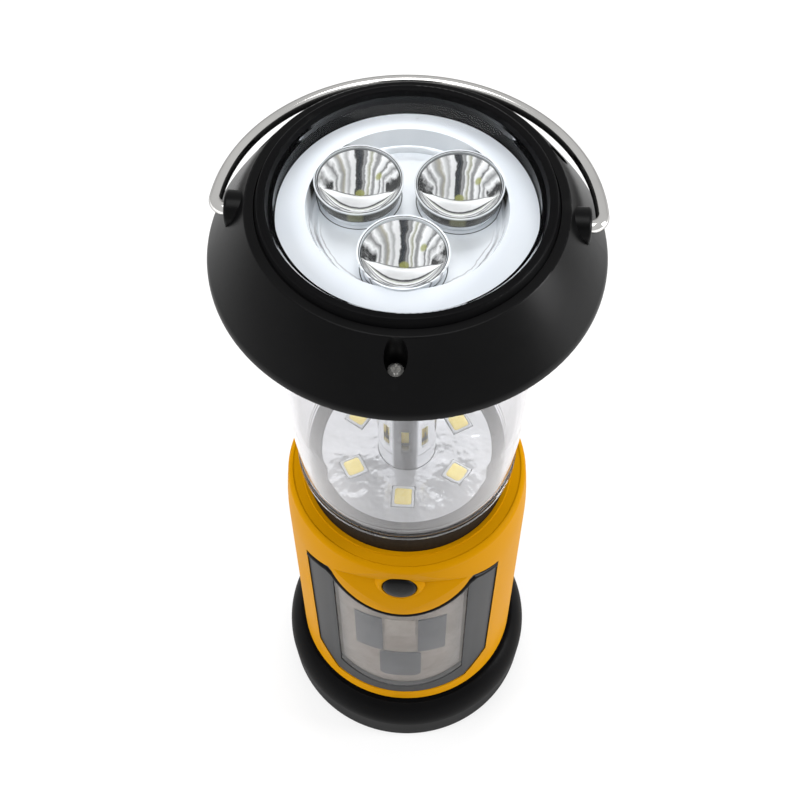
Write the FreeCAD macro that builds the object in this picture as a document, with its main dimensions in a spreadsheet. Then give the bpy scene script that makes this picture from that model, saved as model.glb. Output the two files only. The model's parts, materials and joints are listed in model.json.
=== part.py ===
"""Emergency lantern radio: cap lamp, lantern chamber, yellow body, radio and hand crank.

Millimetres. The lantern stands on Z = 0 with its axis on Z, its front towards -Y and
the bail handle's ears on X. Every driving size is a cell of the sheet called Sizes.
"""
import FreeCAD, Part

import math
import os

import Sketcher

doc = FreeCAD.newDocument("emergency_lantern_radio")
sheet = doc.addObject("Spreadsheet::Sheet", "Sizes")
Vector = FreeCAD.Vector
Rotation = FreeCAD.Rotation


class Size:
    """A number together with the formula that gives it from the sheet's cells."""

    def __init__(self, value, text):
        self.value = float(value)
        self.text = text

    def joined(self, other, sign, swap=False):
        other = as_size(other)
        first, second = (other, self) if swap else (self, other)
        results = {
            "+": lambda: first.value + second.value,
            "-": lambda: first.value - second.value,
            "*": lambda: first.value * second.value,
            "/": lambda: first.value / second.value,
        }
        return Size(results[sign](), "(%s %s %s)" % (first.text, sign, second.text))

    def __add__(self, other):
        return self.joined(other, "+")

    def __radd__(self, other):
        return self.joined(other, "+", True)

    def __sub__(self, other):
        return self.joined(other, "-")

    def __rsub__(self, other):
        return self.joined(other, "-", True)

    def __mul__(self, other):
        return self.joined(other, "*")

    def __rmul__(self, other):
        return self.joined(other, "*", True)

    def __truediv__(self, other):
        return self.joined(other, "/")

    def __rtruediv__(self, other):
        return self.joined(other, "/", True)

    def __neg__(self):
        return 0 - self

    def __float__(self):
        return self.value


def as_size(number):
    return number if isinstance(number, Size) else Size(number, repr(float(number)))


def sine(angle):
    angle = as_size(angle)
    return Size(math.sin(math.radians(angle.value)), "sin(%s)" % angle.text)


def cosine(angle):
    angle = as_size(angle)
    return Size(math.cos(math.radians(angle.value)), "cos(%s)" % angle.text)


def root(number):
    return Size(math.sqrt(number.value), "sqrt(%s)" % number.text)


def side(radius, across):
    """The distance from an axis along one direction at which a circle is this far across."""
    return root(radius * radius - across * across)


sheet_rows = []


def size(alias, value):
    """One driving dimension: its row of the sheet, and the Size that reads it."""
    sheet_rows.append(alias)
    row = len(sheet_rows)
    sheet.set("A%d" % row, alias)
    sheet.set("B%d" % row, str(value))
    sheet.setAlias("B%d" % row, alias)
    return Size(value, "Sizes.%s" % alias)


# Clearances shared by everything that fits together
fit_gap = size("fit_gap", 0.15)
shaft_gap = size("shaft_gap", 0.05)
face_gap = size("face_gap", 0.3)

# Black base ring and the plate that closes the bottom
base_radius = size("base_radius", 42.2)
base_belly_z = size("base_belly_z", 13.0)
base_foot_radius = size("base_foot_radius", 40.5)
base_foot_round = size("base_foot_round", 2.6)
base_top_radius = size("base_top_radius", 38.2)
base_top_z = size("base_top_z", 21.8)
base_neck_radius = size("base_neck_radius", 35.7)
base_foot_edge = size("base_foot_edge", 1.2)
base_top_round = size("base_top_round", 1.2)
base_top_step = size("base_top_step", 1.3)
base_top_rise = size("base_top_rise", 0.3)
under_inset = size("under_inset", 0.3)
base_bore_radius = size("base_bore_radius", 33.4)
base_plate_thick = size("base_plate_thick", 2.4)
base_plate_radius = size("base_plate_radius", 35.0)
door_thick = size("door_thick", 1.8)
door_gap = size("door_gap", 0.4)
door_lip = size("door_lip", 2.0)
door_hook_x = size("door_hook_x", 10.5)
door_hook_width = size("door_hook_width", 3.0)
door_hook_thick = size("door_hook_thick", 1.0)
door_catch = size("door_catch", 0.9)
base_screw_circle = size("base_screw_circle", 29.8)
base_screw_radius = size("base_screw_radius", 1.4)
base_screw_head = size("base_screw_head", 2.6)
base_screw_sink = size("base_screw_sink", 1.3)
base_screw_length = size("base_screw_length", 14.0)
base_boss_top_z = size("base_boss_top_z", 28.0)

# Yellow body shell
body_radius = size("body_radius", 36.5)
body_wall = size("body_wall", 2.5)
body_foot_z = size("body_foot_z", 24.5)
body_side_z = size("body_side_z", 108.0)
shoulder_radius = size("shoulder_radius", 35.5)
shoulder_z = size("shoulder_z", 124.4)
step_radius = size("step_radius", 34.0)
step_z = size("step_z", 126.9)
body_top_z = size("body_top_z", 127.9)
collar_lip_radius = size("collar_lip_radius", 30.9)
ceiling_z = size("ceiling_z", 122.8)
collar_seat_z = size("collar_seat_z", 125.3)
wire_way_radius = size("wire_way_radius", 8.0)
base_boss_radius = size("base_boss_radius", 3.2)
base_web_half = size("base_web_half", 1.9)
shoulder_round = size("shoulder_round", 2.4)
step_lip = size("step_lip", 0.35)
step_drop = size("step_drop", 0.15)
collar_lip_run = size("collar_lip_run", 0.25)
collar_lip_drop = size("collar_lip_drop", 0.5)
collar_gap = size("collar_gap", 0.1)
ceiling_corner = size("ceiling_corner", 1.2)

# Thumb scoop above the front window, swept about an axis behind the lantern
scoop_axis_y = size("scoop_axis_y", 36.7)
scoop_deep = size("scoop_deep", 3.2)
scoop_deep_z = size("scoop_deep_z", 115.0)
scoop_low_z = size("scoop_low_z", 99.6)
scoop_high_z = size("scoop_high_z", 124.8)
scoop_high_deep = size("scoop_high_deep", 2.0)
scoop_sweep = size("scoop_sweep", 44.0)
tongue_pad_radius = size("tongue_pad_radius", 30.4)

# Power button in the scoop
button_radius = size("button_radius", 6.0)
button_z = size("button_z", 114.0)
button_face = size("button_face", 33.4)
button_tilt = size("button_tilt", 7.0)
button_dome = size("button_dome", 1.0)
button_length = size("button_length", 4.2)
button_flange = size("button_flange", 0.9)
button_flange_radius = size("button_flange_radius", 7.1)
button_travel = size("button_travel", 1.0)
button_gap = size("button_gap", 0.2)
button_edge = size("button_edge", 0.2)
plunger_gap = size("plunger_gap", 0.35)

# Front opening: grey bezel, clear window, panel behind it
bezel_corner_x = size("bezel_corner_x", 28.8)
bezel_corner_z = size("bezel_corner_z", 110.0)
bezel_shoulder_x = size("bezel_shoulder_x", 21.4)
bezel_shoulder_z = size("bezel_shoulder_z", 114.2)
bezel_low_x = size("bezel_low_x", 28.2)
bezel_low_z = size("bezel_low_z", 42.0)
bezel_foot_x = size("bezel_foot_x", 21.5)
bezel_foot_z = size("bezel_foot_z", 31.5)
bezel_bottom_z = size("bezel_bottom_z", 29.8)
bezel_inset = size("bezel_inset", 0.4)
bezel_flange = size("bezel_flange", 1.4)
window_half = size("window_half", 20.4)
window_top_z = size("window_top_z", 112.8)
tongue_z = size("tongue_z", 98.3)
window_low_z = size("window_low_z", 41.0)
window_bottom_z = size("window_bottom_z", 34.5)
window_inset = size("window_inset", 0.65)
window_thick = size("window_thick", 1.7)
panel_thick = size("panel_thick", 2.0)
panel_gap = size("panel_gap", 0.85)
tile_raise = size("tile_raise", 0.4)
tile_inner_x = size("tile_inner_x", 5.5)
tile_outer_x = size("tile_outer_x", 14.0)
tile_low_z = size("tile_low_z", 62.5)
tile_high_z = size("tile_high_z", 88.0)
screen_half = size("screen_half", 6.6)
screen_low_z = size("screen_low_z", 41.5)
screen_high_z = size("screen_high_z", 61.6)
screen_chamfer = size("screen_chamfer", 1.5)
plate_half = size("plate_half", 4.6)
plate_low_z = size("plate_low_z", 76.0)
plate_high_z = size("plate_high_z", 88.5)

# Lantern chamber: rubber collar, clear lens, mirror floor, chrome column
collar_radius = size("collar_radius", 29.6)
collar_bore = size("collar_bore", 22.5)
collar_top_z = size("collar_top_z", 139.2)
collar_ledge_z = size("collar_ledge_z", 136.0)
floor_radius = size("floor_radius", 24.9)
floor_board_thick = size("floor_board_thick", 1.6)
floor_top_z = size("floor_top_z", 139.7)
lens_foot_radius = size("lens_foot_radius", 31.6)
lens_foot_bore = size("lens_foot_bore", 25.2)
lens_flange = size("lens_flange", 1.2)
lens_waist_z = size("lens_waist_z", 160.5)
lens_waist_radius = size("lens_waist_radius", 32.5)
lens_mid_z = size("lens_mid_z", 171.5)
lens_mid_radius = size("lens_mid_radius", 33.2)
lens_top_radius = size("lens_top_radius", 33.9)
lens_top_z = size("lens_top_z", 235.0)
lens_wall = size("lens_wall", 2.0)
floor_led_count = size("floor_led_count", 6)
floor_led_circle = size("floor_led_circle", 17.0)
floor_led_width = size("floor_led_width", 5.6)
floor_led_slot = size("floor_led_slot", 6.6)
floor_led_top = size("floor_led_top", 0.5)
column_radius = size("column_radius", 8.35)
column_wall = size("column_wall", 0.9)
column_window_count = size("column_window_count", 9)
column_window_width = size("column_window_width", 2.1)
column_window_height = size("column_window_height", 9.0)
column_window_z = size("column_window_z", 151.9)
column_window_step = size("column_window_step", 22.0)
column_window_rows = size("column_window_rows", 3)
column_board_radius = size("column_board_radius", 5.2)
column_board_wall = size("column_board_wall", 1.0)
column_led_thick = size("column_led_thick", 1.1)
column_led_width = size("column_led_width", 3.0)

# Lamp housing between the lantern chamber and the spot lamp
housing_floor_z = size("housing_floor_z", 229.0)
housing_floor_thick = size("housing_floor_thick", 1.4)
housing_wall = size("housing_wall", 1.4)
housing_flange_radius = size("housing_flange_radius", 37.2)
housing_flange_thick = size("housing_flange_thick", 1.4)
housing_post_circle = size("housing_post_circle", 22.0)
housing_post_radius = size("housing_post_radius", 2.2)
housing_wire_way = size("housing_wire_way", 4.0)
housing_gap = size("housing_gap", 0.2)

# Black cap
cap_radius = size("cap_radius", 46.9)
cap_lip_z = size("cap_lip_z", 229.8)
cap_wall = size("cap_wall", 2.3)
cap_lip_round = size("cap_lip_round", 0.5)
cap_top_z = size("cap_top_z", 247.55)
cap_ledge_radius = size("cap_ledge_radius", 36.4)
cap_bore = size("cap_bore", 34.6)
cap_shelf_z = size("cap_shelf_z", 239.6)
cap_shelf_thick = size("cap_shelf_thick", 1.2)
cap_rim_thick = size("cap_rim_thick", 1.9)
cap_shelf_radius = size("cap_shelf_radius", 32.6)
dome_knee_round = size("dome_knee_round", 0.6)
dome_knee_angle = size("dome_knee_angle", 56.0)
dome_flank_round = size("dome_flank_round", 300.0)
dome_flank_angle = size("dome_flank_angle", 59.4)
under_plate_z = size("under_plate_z", 231.0)
under_plate_thick = size("under_plate_thick", 1.6)
under_plate_radius = size("under_plate_radius", 43.3)
under_screw_length = size("under_screw_length", 7.0)
ear_inner_x = size("ear_inner_x", 37.0)
ear_outer_x = size("ear_outer_x", 41.6)
ear_radius = size("ear_radius", 4.5)
ear_round = size("ear_round", 0.8)
pivot_z = size("pivot_z", 241.8)
bail_radius = size("bail_radius", 44.4)
bail_offset = size("bail_offset", 1.0)
bail_wire_radius = size("bail_wire_radius", 1.55)
bail_bend = size("bail_bend", 3.0)
bail_droop = size("bail_droop", 3.7)
bail_leg_x = size("bail_leg_x", 37.6)
well_radius = size("well_radius", 2.6)
well_wall = size("well_wall", 1.5)
screw_circle = size("screw_circle", 39.15)
screw_seat_z = size("screw_seat_z", 237.9)
screw_post_radius = size("screw_post_radius", 1.75)
screw_post_z = size("screw_post_z", 232.8)
screw_head_radius = size("screw_head_radius", 1.8)
screw_head_height = size("screw_head_height", 1.2)
screw_crown_share = size("screw_crown_share", 0.62)
screw_rim_share = size("screw_rim_share", 0.45)
cross_arm_share = size("cross_arm_share", 0.62)
cross_width_share = size("cross_width_share", 0.26)
cross_depth_share = size("cross_depth_share", 0.3)
screw_shank_radius = size("screw_shank_radius", 0.95)
screw_boss_radius = size("screw_boss_radius", 3.0)
cap_boss_circle = size("cap_boss_circle", 40.2)

# Spot lamp in the cap
bezel_ring_top_z = size("bezel_ring_top_z", 249.7)
bezel_ring_outer = size("bezel_ring_outer", 33.9)
bezel_ring_inner = size("bezel_ring_inner", 31.8)
bezel_ring_foot = size("bezel_ring_foot", 34.4)
bezel_ring_throat = size("bezel_ring_throat", 31.2)
bezel_ring_ledge = size("bezel_ring_ledge", 29.2)
bezel_ring_ledge_z = size("bezel_ring_ledge_z", 242.2)
bezel_ring_round = size("bezel_ring_round", 0.7)
spot_lens_z = size("spot_lens_z", 247.2)
spot_lens_thick = size("spot_lens_thick", 1.2)
spot_skirt = size("spot_skirt", 0.8)
reflector_rim = size("reflector_rim", 30.0)
reflector_rim_z = size("reflector_rim_z", 243.5)
reflector_crown = size("reflector_crown", 23.1)
reflector_crown_z = size("reflector_crown_z", 245.8)
reflector_bowl = size("reflector_bowl", 21.6)
reflector_bowl_z = size("reflector_bowl_z", 240.6)
cup_circle = size("cup_circle", 13.3)
cup_radius = size("cup_radius", 10.35)
cup_foot_radius = size("cup_foot_radius", 3.4)
cup_top_z = size("cup_top_z", 246.4)
cup_foot_z = size("cup_foot_z", 234.6)
cup_wall = size("cup_wall", 0.7)
cup_count = size("cup_count", 3)
spot_board_z = size("spot_board_z", 232.4)
spot_board_thick = size("spot_board_thick", 1.6)
spot_board_radius = size("spot_board_radius", 29.6)
spot_led_radius = size("spot_led_radius", 2.4)
spot_led_height = size("spot_led_height", 1.6)

# Batteries and boards in the front half of the body
cell_radius = size("cell_radius", 7.1)
cell_length = size("cell_length", 49.3)
cell_nub_radius = size("cell_nub_radius", 2.7)
cell_nub_height = size("cell_nub_height", 1.2)
cell_pitch = size("cell_pitch", 15.4)
cell_y = size("cell_y", -10.6)
cell_foot_z = size("cell_foot_z", 6.6)
tray_wall = size("tray_wall", 1.3)
tray_top = size("tray_top", 1.6)
contact_thick = size("contact_thick", 0.4)
contact_half = size("contact_half", 4.5)
main_board_front_y = size("main_board_front_y", -22.4)
main_board_thick = size("main_board_thick", 1.6)
main_board_half = size("main_board_half", 18.0)
main_board_low_z = size("main_board_low_z", 50.0)
main_board_high_z = size("main_board_high_z", 122.6)
switch_half = size("switch_half", 4.0)
switch_depth = size("switch_depth", 3.2)
chip_thick = size("chip_thick", 1.8)
capacitor_radius = size("capacitor_radius", 3.4)
capacitor_length = size("capacitor_length", 9.0)
capacitor_z = size("capacitor_z", 101.0)
capacitor_x = size("capacitor_x", 5.5)
tray_flange_thick = size("tray_flange_thick", 1.6)
tray_flange_inset = size("tray_flange_inset", 3.0)
tray_post = size("tray_post", 3.0)
tray_post_height = size("tray_post_height", 6.0)
tray_post_x = size("tray_post_x", 11.5)
spring_wall = size("spring_wall", 0.6)
plunger_radius = size("plunger_radius", 1.7)

# Hand crank on the rear, gear train and generator
crank_z = size("crank_z", 62.0)
crank_shaft_radius = size("crank_shaft_radius", 2.5)
bush_radius = size("bush_radius", 4.5)
bush_flange_radius = size("bush_flange_radius", 6.5)
bush_flange = size("bush_flange", 1.2)
crank_hub_radius = size("crank_hub_radius", 7.5)
crank_gap = size("crank_gap", 0.5)
crank_arm_thick = size("crank_arm_thick", 3.4)
crank_arm_half = size("crank_arm_half", 5.2)
crank_hub_raise = size("crank_hub_raise", 1.4)
crank_arm_length = size("crank_arm_length", 30.0)
knob_radius = size("knob_radius", 5.2)
knob_length = size("knob_length", 17.0)
knob_waist = size("knob_waist", 4.5)
knob_start = size("knob_start", 4.4)
knob_lift = size("knob_lift", 0.5)
knob_edge = size("knob_edge", 1.2)
spindle_sink = size("spindle_sink", 0.6)
spindle_collar_thick = size("spindle_collar_thick", 0.8)
shaft_into_arm = size("shaft_into_arm", 0.6)
shaft_front_gap = size("shaft_front_gap", 0.8)
clevis_half_gap = size("clevis_half_gap", 1.8)
clevis_ear_thick = size("clevis_ear_thick", 2.0)
clevis_ear_radius = size("clevis_ear_radius", 3.1)
hinge_pin_radius = size("hinge_pin_radius", 1.0)
spindle_radius = size("spindle_radius", 1.6)
spindle_eye_radius = size("spindle_eye_radius", 2.8)
spindle_head_radius = size("spindle_head_radius", 2.7)
spindle_head_length = size("spindle_head_length", 1.4)
gear_module = size("gear_module", 0.8)
drive_teeth = size("drive_teeth", 40)
idler_small_teeth = size("idler_small_teeth", 12)
idler_large_teeth = size("idler_large_teeth", 36)
rotor_teeth = size("rotor_teeth", 12)
gear_thick = size("gear_thick", 4.0)
gear_play = size("gear_play", 0.12)
gear_bore = size("gear_bore", 1.5)
gear_hub_step = size("gear_hub_step", 1.4)
drive_hub_radius = size("drive_hub_radius", 4.4)
drive_hole_radius = size("drive_hole_radius", 2.6)
drive_hole_circle = size("drive_hole_circle", 9.2)
drive_hole_count = size("drive_hole_count", 5)
idler_hub_radius = size("idler_hub_radius", 3.4)
rotor_shaft_radius = size("rotor_shaft_radius", 1.0)
rotor_end_gap = size("rotor_end_gap", 1.4)
gear_screw_length = size("gear_screw_length", 4.5)
outer_gear_y = size("outer_gear_y", 23.6)
inner_gear_y = size("inner_gear_y", 17.6)
gear_plate_y = size("gear_plate_y", 13.6)
gear_plate_thick = size("gear_plate_thick", 2.0)
gear_plate_low_z = size("gear_plate_low_z", 44.0)
gear_plate_high_z = size("gear_plate_high_z", 98.0)
gear_plate_half = size("gear_plate_half", 27.0)
gear_post_x = size("gear_post_x", 23.0)
gear_post_low_z = size("gear_post_low_z", 48.5)
gear_post_high_z = size("gear_post_high_z", 94.0)
gear_post_radius = size("gear_post_radius", 2.8)
rotor_angle = size("rotor_angle", 207.5)
generator_radius = size("generator_radius", 9.6)
generator_length = size("generator_length", 10.4)
generator_wall = size("generator_wall", 1.0)
rotor_radius = size("rotor_radius", 7.4)

# Radio on the rear
speaker_z = size("speaker_z", 104.5)
speaker_radius = size("speaker_radius", 13.4)
speaker_depth = size("speaker_depth", 5.4)
speaker_front_y = size("speaker_front_y", 30.4)
speaker_magnet_radius = size("speaker_magnet_radius", 6.4)
speaker_magnet_depth = size("speaker_magnet_depth", 3.6)
speaker_wall = size("speaker_wall", 1.5)
speaker_wall_lap = size("speaker_wall_lap", 0.5)
speaker_rim = size("speaker_rim", 1.2)
speaker_cone_radius = size("speaker_cone_radius", 5.0)
speaker_cone_floor = size("speaker_cone_floor", 0.8)
grille_edge = size("grille_edge", 2.6)
post_inset = size("post_inset", 1.0)
bush_wall = size("bush_wall", 1.2)
grille_hole_radius = size("grille_hole_radius", 0.95)
grille_pitch = size("grille_pitch", 3.3)
knob_azimuth = size("knob_azimuth", 41.0)
radio_knob_z = size("radio_knob_z", 105.0)
radio_knob_radius = size("radio_knob_radius", 5.6)
radio_knob_depth = size("radio_knob_depth", 5.6)
radio_knob_gap = size("radio_knob_gap", 0.5)
radio_knob_ribs = size("radio_knob_ribs", 18)
radio_shaft_radius = size("radio_shaft_radius", 1.5)
radio_can_half = size("radio_can_half", 5.0)
radio_can_depth = size("radio_can_depth", 6.5)
radio_shaft_start = size("radio_shaft_start", 29.0)
knob_rib_radius = size("knob_rib_radius", 0.5)
knob_mark_half = size("knob_mark_half", 0.35)
knob_mark_deep = size("knob_mark_deep", 0.4)
knob_mark_start = size("knob_mark_start", 1.6)
knob_mark_edge = size("knob_mark_edge", 0.8)
band_azimuth = size("band_azimuth", 45.0)
band_z = size("band_z", 85.1)
band_slot_half = size("band_slot_half", 1.7)
band_slot_height = size("band_slot_height", 8.0)
band_travel = size("band_travel", 3.0)
band_knob_half = size("band_knob_half", 1.5)
band_knob_height = size("band_knob_height", 4.2)
band_raise = size("band_raise", 1.6)
band_flange_lap = size("band_flange_lap", 0.8)
band_stem_half = size("band_stem_half", 1.0)
band_can_half = size("band_can_half", 4.0)
band_can_height = size("band_can_height", 9.2)
band_can_depth = size("band_can_depth", 3.0)
band_lug = size("band_lug", 1.4)
jack_azimuth = size("jack_azimuth", 47.0)
jack_z = size("jack_z", 40.0)
jack_half_width = size("jack_half_width", 4.6)
jack_half_height = size("jack_half_height", 2.4)
jack_socket_depth = size("jack_socket_depth", 6.0)
jack_socket_half = size("jack_socket_half", 1.5)
jack_wall = size("jack_wall", 0.9)
jack_tongue_half = size("jack_tongue_half", 0.35)
jack_inner = size("jack_inner", 26.0)
jack_flange_inner = size("jack_flange_inner", 31.6)
jack_flange_thick = size("jack_flange_thick", 1.6)
jack_flange_half = size("jack_flange_half", 6.0)
jack_flange_height = size("jack_flange_height", 4.0)
cover_half_width = size("cover_half_width", 6.6)
cover_half_height = size("cover_half_height", 4.6)
cover_bulge = size("cover_bulge", 0.4)
cover_axis_out = size("cover_axis_out", 0.7)
cover_axis_drop = size("cover_axis_drop", 0.2)
cover_barrel = size("cover_barrel", 1.0)
cover_barrel_half = size("cover_barrel_half", 4.5)
cover_lug_half = size("cover_lug_half", 6.4)
cover_peg = size("cover_peg", 0.5)
cover_tab_half = size("cover_tab_half", 1.8)
cover_tab_height = size("cover_tab_height", 1.2)
cover_tab_out = size("cover_tab_out", 1.4)
cover_seat = size("cover_seat", 1.3)
antenna_z = size("antenna_z", 118.2)
antenna_x = size("antenna_x", -23.5)
antenna_y = size("antenna_y", 39.2)
antenna_lean = size("antenna_lean", 15.0)
antenna_boss_radius = size("antenna_boss_radius", 4.3)
antenna_block = size("antenna_block", 5.2)
antenna_pin_radius = size("antenna_pin_radius", 1.6)
antenna_tube_radius = size("antenna_tube_radius", 2.2)
antenna_tube_wall = size("antenna_tube_wall", 0.35)
antenna_reach = size("antenna_reach", 46.0)
antenna_section_step = size("antenna_section_step", 0.45)
antenna_tip_radius = size("antenna_tip_radius", 2.4)
antenna_tip_length = size("antenna_tip_length", 3.2)
antenna_start = size("antenna_start", 3.0)
antenna_block_radius = size("antenna_block_radius", 4.0)
antenna_socket_length = size("antenna_socket_length", 8.0)
antenna_pin_depth = size("antenna_pin_depth", 8.8)
antenna_head_radius = size("antenna_head_radius", 3.0)
antenna_head_thick = size("antenna_head_thick", 1.2)
antenna_slot_width = size("antenna_slot_width", 0.8)
antenna_slot_deep = size("antenna_slot_deep", 0.5)
radio_board_y = size("radio_board_y", 9.4)
radio_board_thick = size("radio_board_thick", 1.4)
radio_board_half = size("radio_board_half", 22.0)
radio_board_low_z = size("radio_board_low_z", 99.2)
radio_board_high_z = size("radio_board_high_z", 122.6)
ferrite_radius = size("ferrite_radius", 3.6)
ferrite_length = size("ferrite_length", 40.0)
coil_radius = size("coil_radius", 4.6)
coil_length = size("coil_length", 14.0)
ferrite_y = size("ferrite_y", -1.5)
ferrite_z = size("ferrite_z", 112.0)
holder_x = size("holder_x", 12.0)
holder_wall = size("holder_wall", 1.4)
holder_width = size("holder_width", 3.0)
holder_foot = size("holder_foot", 4.0)
clip_x = size("clip_x", 17.0)
clip_width = size("clip_width", 4.0)
clip_depth = size("clip_depth", 5.4)
clip_low_z = size("clip_low_z", 117.0)

doc.recompute()
made = {}


def bind(item, path, formula):
    """Binds a property to a formula of the sheet."""
    item.setExpression(path, as_size(formula).text)


def place(item, x=0, y=0, z=0, turn=None):
    """Places an object: its position is bound to the sheet, its turn is a rotation."""
    if turn is not None:
        item.Placement = FreeCAD.Placement(Vector(), turn)
    for axis, value in zip("xyz", (x, y, z)):
        bind(item, "Placement.Base." + axis, value)
    return item


TO_REAR = Rotation(Vector(1, 0, 0), -90)
TO_RIGHT = Rotation(Vector(0, 1, 0), 90)


def about_z(degrees):
    return Rotation(Vector(0, 0, 1), degrees)


def cylinder(name, radius, height, x=0, y=0, z=0, turn=None):
    item = doc.addObject("Part::Cylinder", name)
    bind(item, "Radius", radius)
    bind(item, "Height", height)
    return place(item, x, y, z, turn)


def cone(name, low_radius, high_radius, height, x=0, y=0, z=0, turn=None):
    item = doc.addObject("Part::Cone", name)
    bind(item, "Radius1", low_radius)
    bind(item, "Radius2", high_radius)
    bind(item, "Height", height)
    return place(item, x, y, z, turn)


def box(name, length, width, height, x=0, y=0, z=0, turn=None):
    item = doc.addObject("Part::Box", name)
    bind(item, "Length", length)
    bind(item, "Width", width)
    bind(item, "Height", height)
    return place(item, x, y, z, turn)


def fuse(name, *parts):
    item = doc.addObject("Part::MultiFuse", name)
    item.Shapes = list(parts)
    item.Refine = True
    return item


def cut(name, base, *tools):
    item = doc.addObject("Part::Cut", name)
    item.Base = base
    item.Tool = tools[0] if len(tools) == 1 else fuse(name + "_tools", *tools)
    item.Refine = True
    return item


def common(name, first, second):
    item = doc.addObject("Part::Common", name)
    item.Base = first
    item.Tool = second
    item.Refine = True
    return item


def group(name, parts):
    item = doc.addObject("Part::Compound", name)
    item.Links = list(parts)
    return item


def node(label, item):
    """Names a finished sub-part."""
    item.Label = label
    made[label] = item
    return item


def origin_plane(body, role):
    for feature in body.Origin.OriginFeatures:
        if feature.Role == role:
            return feature
    raise ValueError(role)


class Bend:
    """An arc from the corner before it to the next one, bulging left or right of the way."""

    def __init__(self, radius, bulge):
        self.radius = as_size(radius)
        self.bulge = bulge


def arc_between(start, end, radius, bulge):
    """The minor arc of this radius, run counterclockwise; a bulge of 1 is left of start to end."""
    middle = (start + end) * 0.5
    chord = end - start
    left = Vector(-chord.y, chord.x, 0).normalize()
    rise = math.sqrt(max(radius ** 2 - (chord.Length / 2) ** 2, 0.0))
    centre = middle - left * (rise * bulge)
    top = centre + left * (radius * bulge)
    return Part.Arc(start, top, end) if bulge < 0 else Part.Arc(end, top, start)


def bound_constraint(sketch, value, kind, *where):
    """A sketch constraint whose value is a formula of the sheet."""
    number = sketch.addConstraint(Sketcher.Constraint(kind, *where, value.value))
    sketch.setExpression("Constraints[%d]" % number, value.text)


def outline(body, name, plane, path, closed=True):
    """A sketch of corners and bends, each corner bound to the sheet on both axes."""
    sketch = body.newObject("Sketcher::SketchObject", name)
    sketch.AttachmentSupport = (origin_plane(body, plane), [""])
    sketch.MapMode = "FlatFace"
    corners = []
    bends = {}
    for step in path:
        if isinstance(step, Bend):
            bends[len(corners) - 1] = step
        else:
            corners.append((as_size(step[0]), as_size(step[1])))
    points = [Vector(float(x), float(y), 0) for x, y in corners]
    edge_count = len(points) if closed else len(points) - 1
    firsts, lasts = [], []
    for index in range(edge_count):
        start, end = points[index], points[(index + 1) % len(points)]
        bend = bends.get(index)
        if bend is None:
            sketch.addGeometry(Part.LineSegment(start, end), False)
            firsts.append(1)
            lasts.append(2)
            continue
        sketch.addGeometry(arc_between(start, end, bend.radius.value, bend.bulge), False)
        firsts.append(1 if bend.bulge < 0 else 2)
        lasts.append(2 if bend.bulge < 0 else 1)
        bound_constraint(sketch, bend.radius, "Radius", index)
    for index, (x, y) in enumerate(corners):
        before = (index - 1) % edge_count
        joins = closed or 0 < index < edge_count
        place_here = (index, firsts[index]) if index < edge_count else (before, lasts[before])
        if joins:
            sketch.addConstraint(Sketcher.Constraint("Coincident", before, lasts[before], *place_here))
        bound_constraint(sketch, x, "DistanceX", -1, 1, *place_here)
        bound_constraint(sketch, y, "DistanceY", -1, 1, *place_here)
    return sketch


def turned(name, path, degrees=360):
    """A body turned about the Z axis from an outline of radius and height."""
    body = doc.addObject("PartDesign::Body", name)
    sketch = outline(body, name + "_profile", "XZ_Plane", path)
    turn = body.newObject("PartDesign::Revolution", name + "_turn")
    turn.Profile = sketch
    turn.ReferenceAxis = (sketch, ["V_Axis"])
    turn.Angle = degrees
    return body


def padded(name, path, length, plane="XY_Plane"):
    """A body padded from an outline, along the normal of its plane."""
    body = doc.addObject("PartDesign::Body", name)
    sketch = outline(body, name + "_profile", plane, path)
    pad = body.newObject("PartDesign::Pad", name + "_pad")
    pad.Profile = sketch
    bind(pad, "Length", length)
    return body


def rectangle(x_low, x_high, y_low, y_high):
    return [(x_low, y_low), (x_high, y_low), (x_high, y_high), (x_low, y_high)]


def ring(name, outer, inner, low, height):
    """A plain ring about the Z axis."""
    return turned(name, rectangle(inner, outer, low, low + height))


def polar(count, first=0.0):
    """The azimuths of equal places round a circle, in degrees."""
    number = int(round(float(count)))
    return [first + 360.0 * index / number for index in range(number)]


def front_sector(name, path, outer, inner):
    """A piece of a ring about Z, cut out by a front-view outline of X and Z."""
    prism = padded(name + "_prism", path, outer + 10, "XZ_Plane")
    shell = ring(name + "_ring", outer, inner, body_foot_z - 20, body_top_z)
    return common(name, prism, shell)


def tongue_round(half, top, bottom):
    """The radius of the arc through the two upper corners and the lowest point."""
    drop = top - bottom
    return (half * half + drop * drop) / (2 * drop)


def window_path(inset):
    """The window's outline, drawn in by this much on every side."""
    half = window_half - inset
    tongue = tongue_round(window_half, window_top_z, tongue_z)
    top = tongue_z + tongue - side(tongue + inset, half)
    smile = tongue_round(window_half, window_low_z, window_bottom_z)
    return [
        (-half, top), Bend(tongue + inset, -1), (half, top),
        (half, window_low_z + inset), Bend(smile, 1), (-half, window_low_z + inset),
    ]


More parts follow.
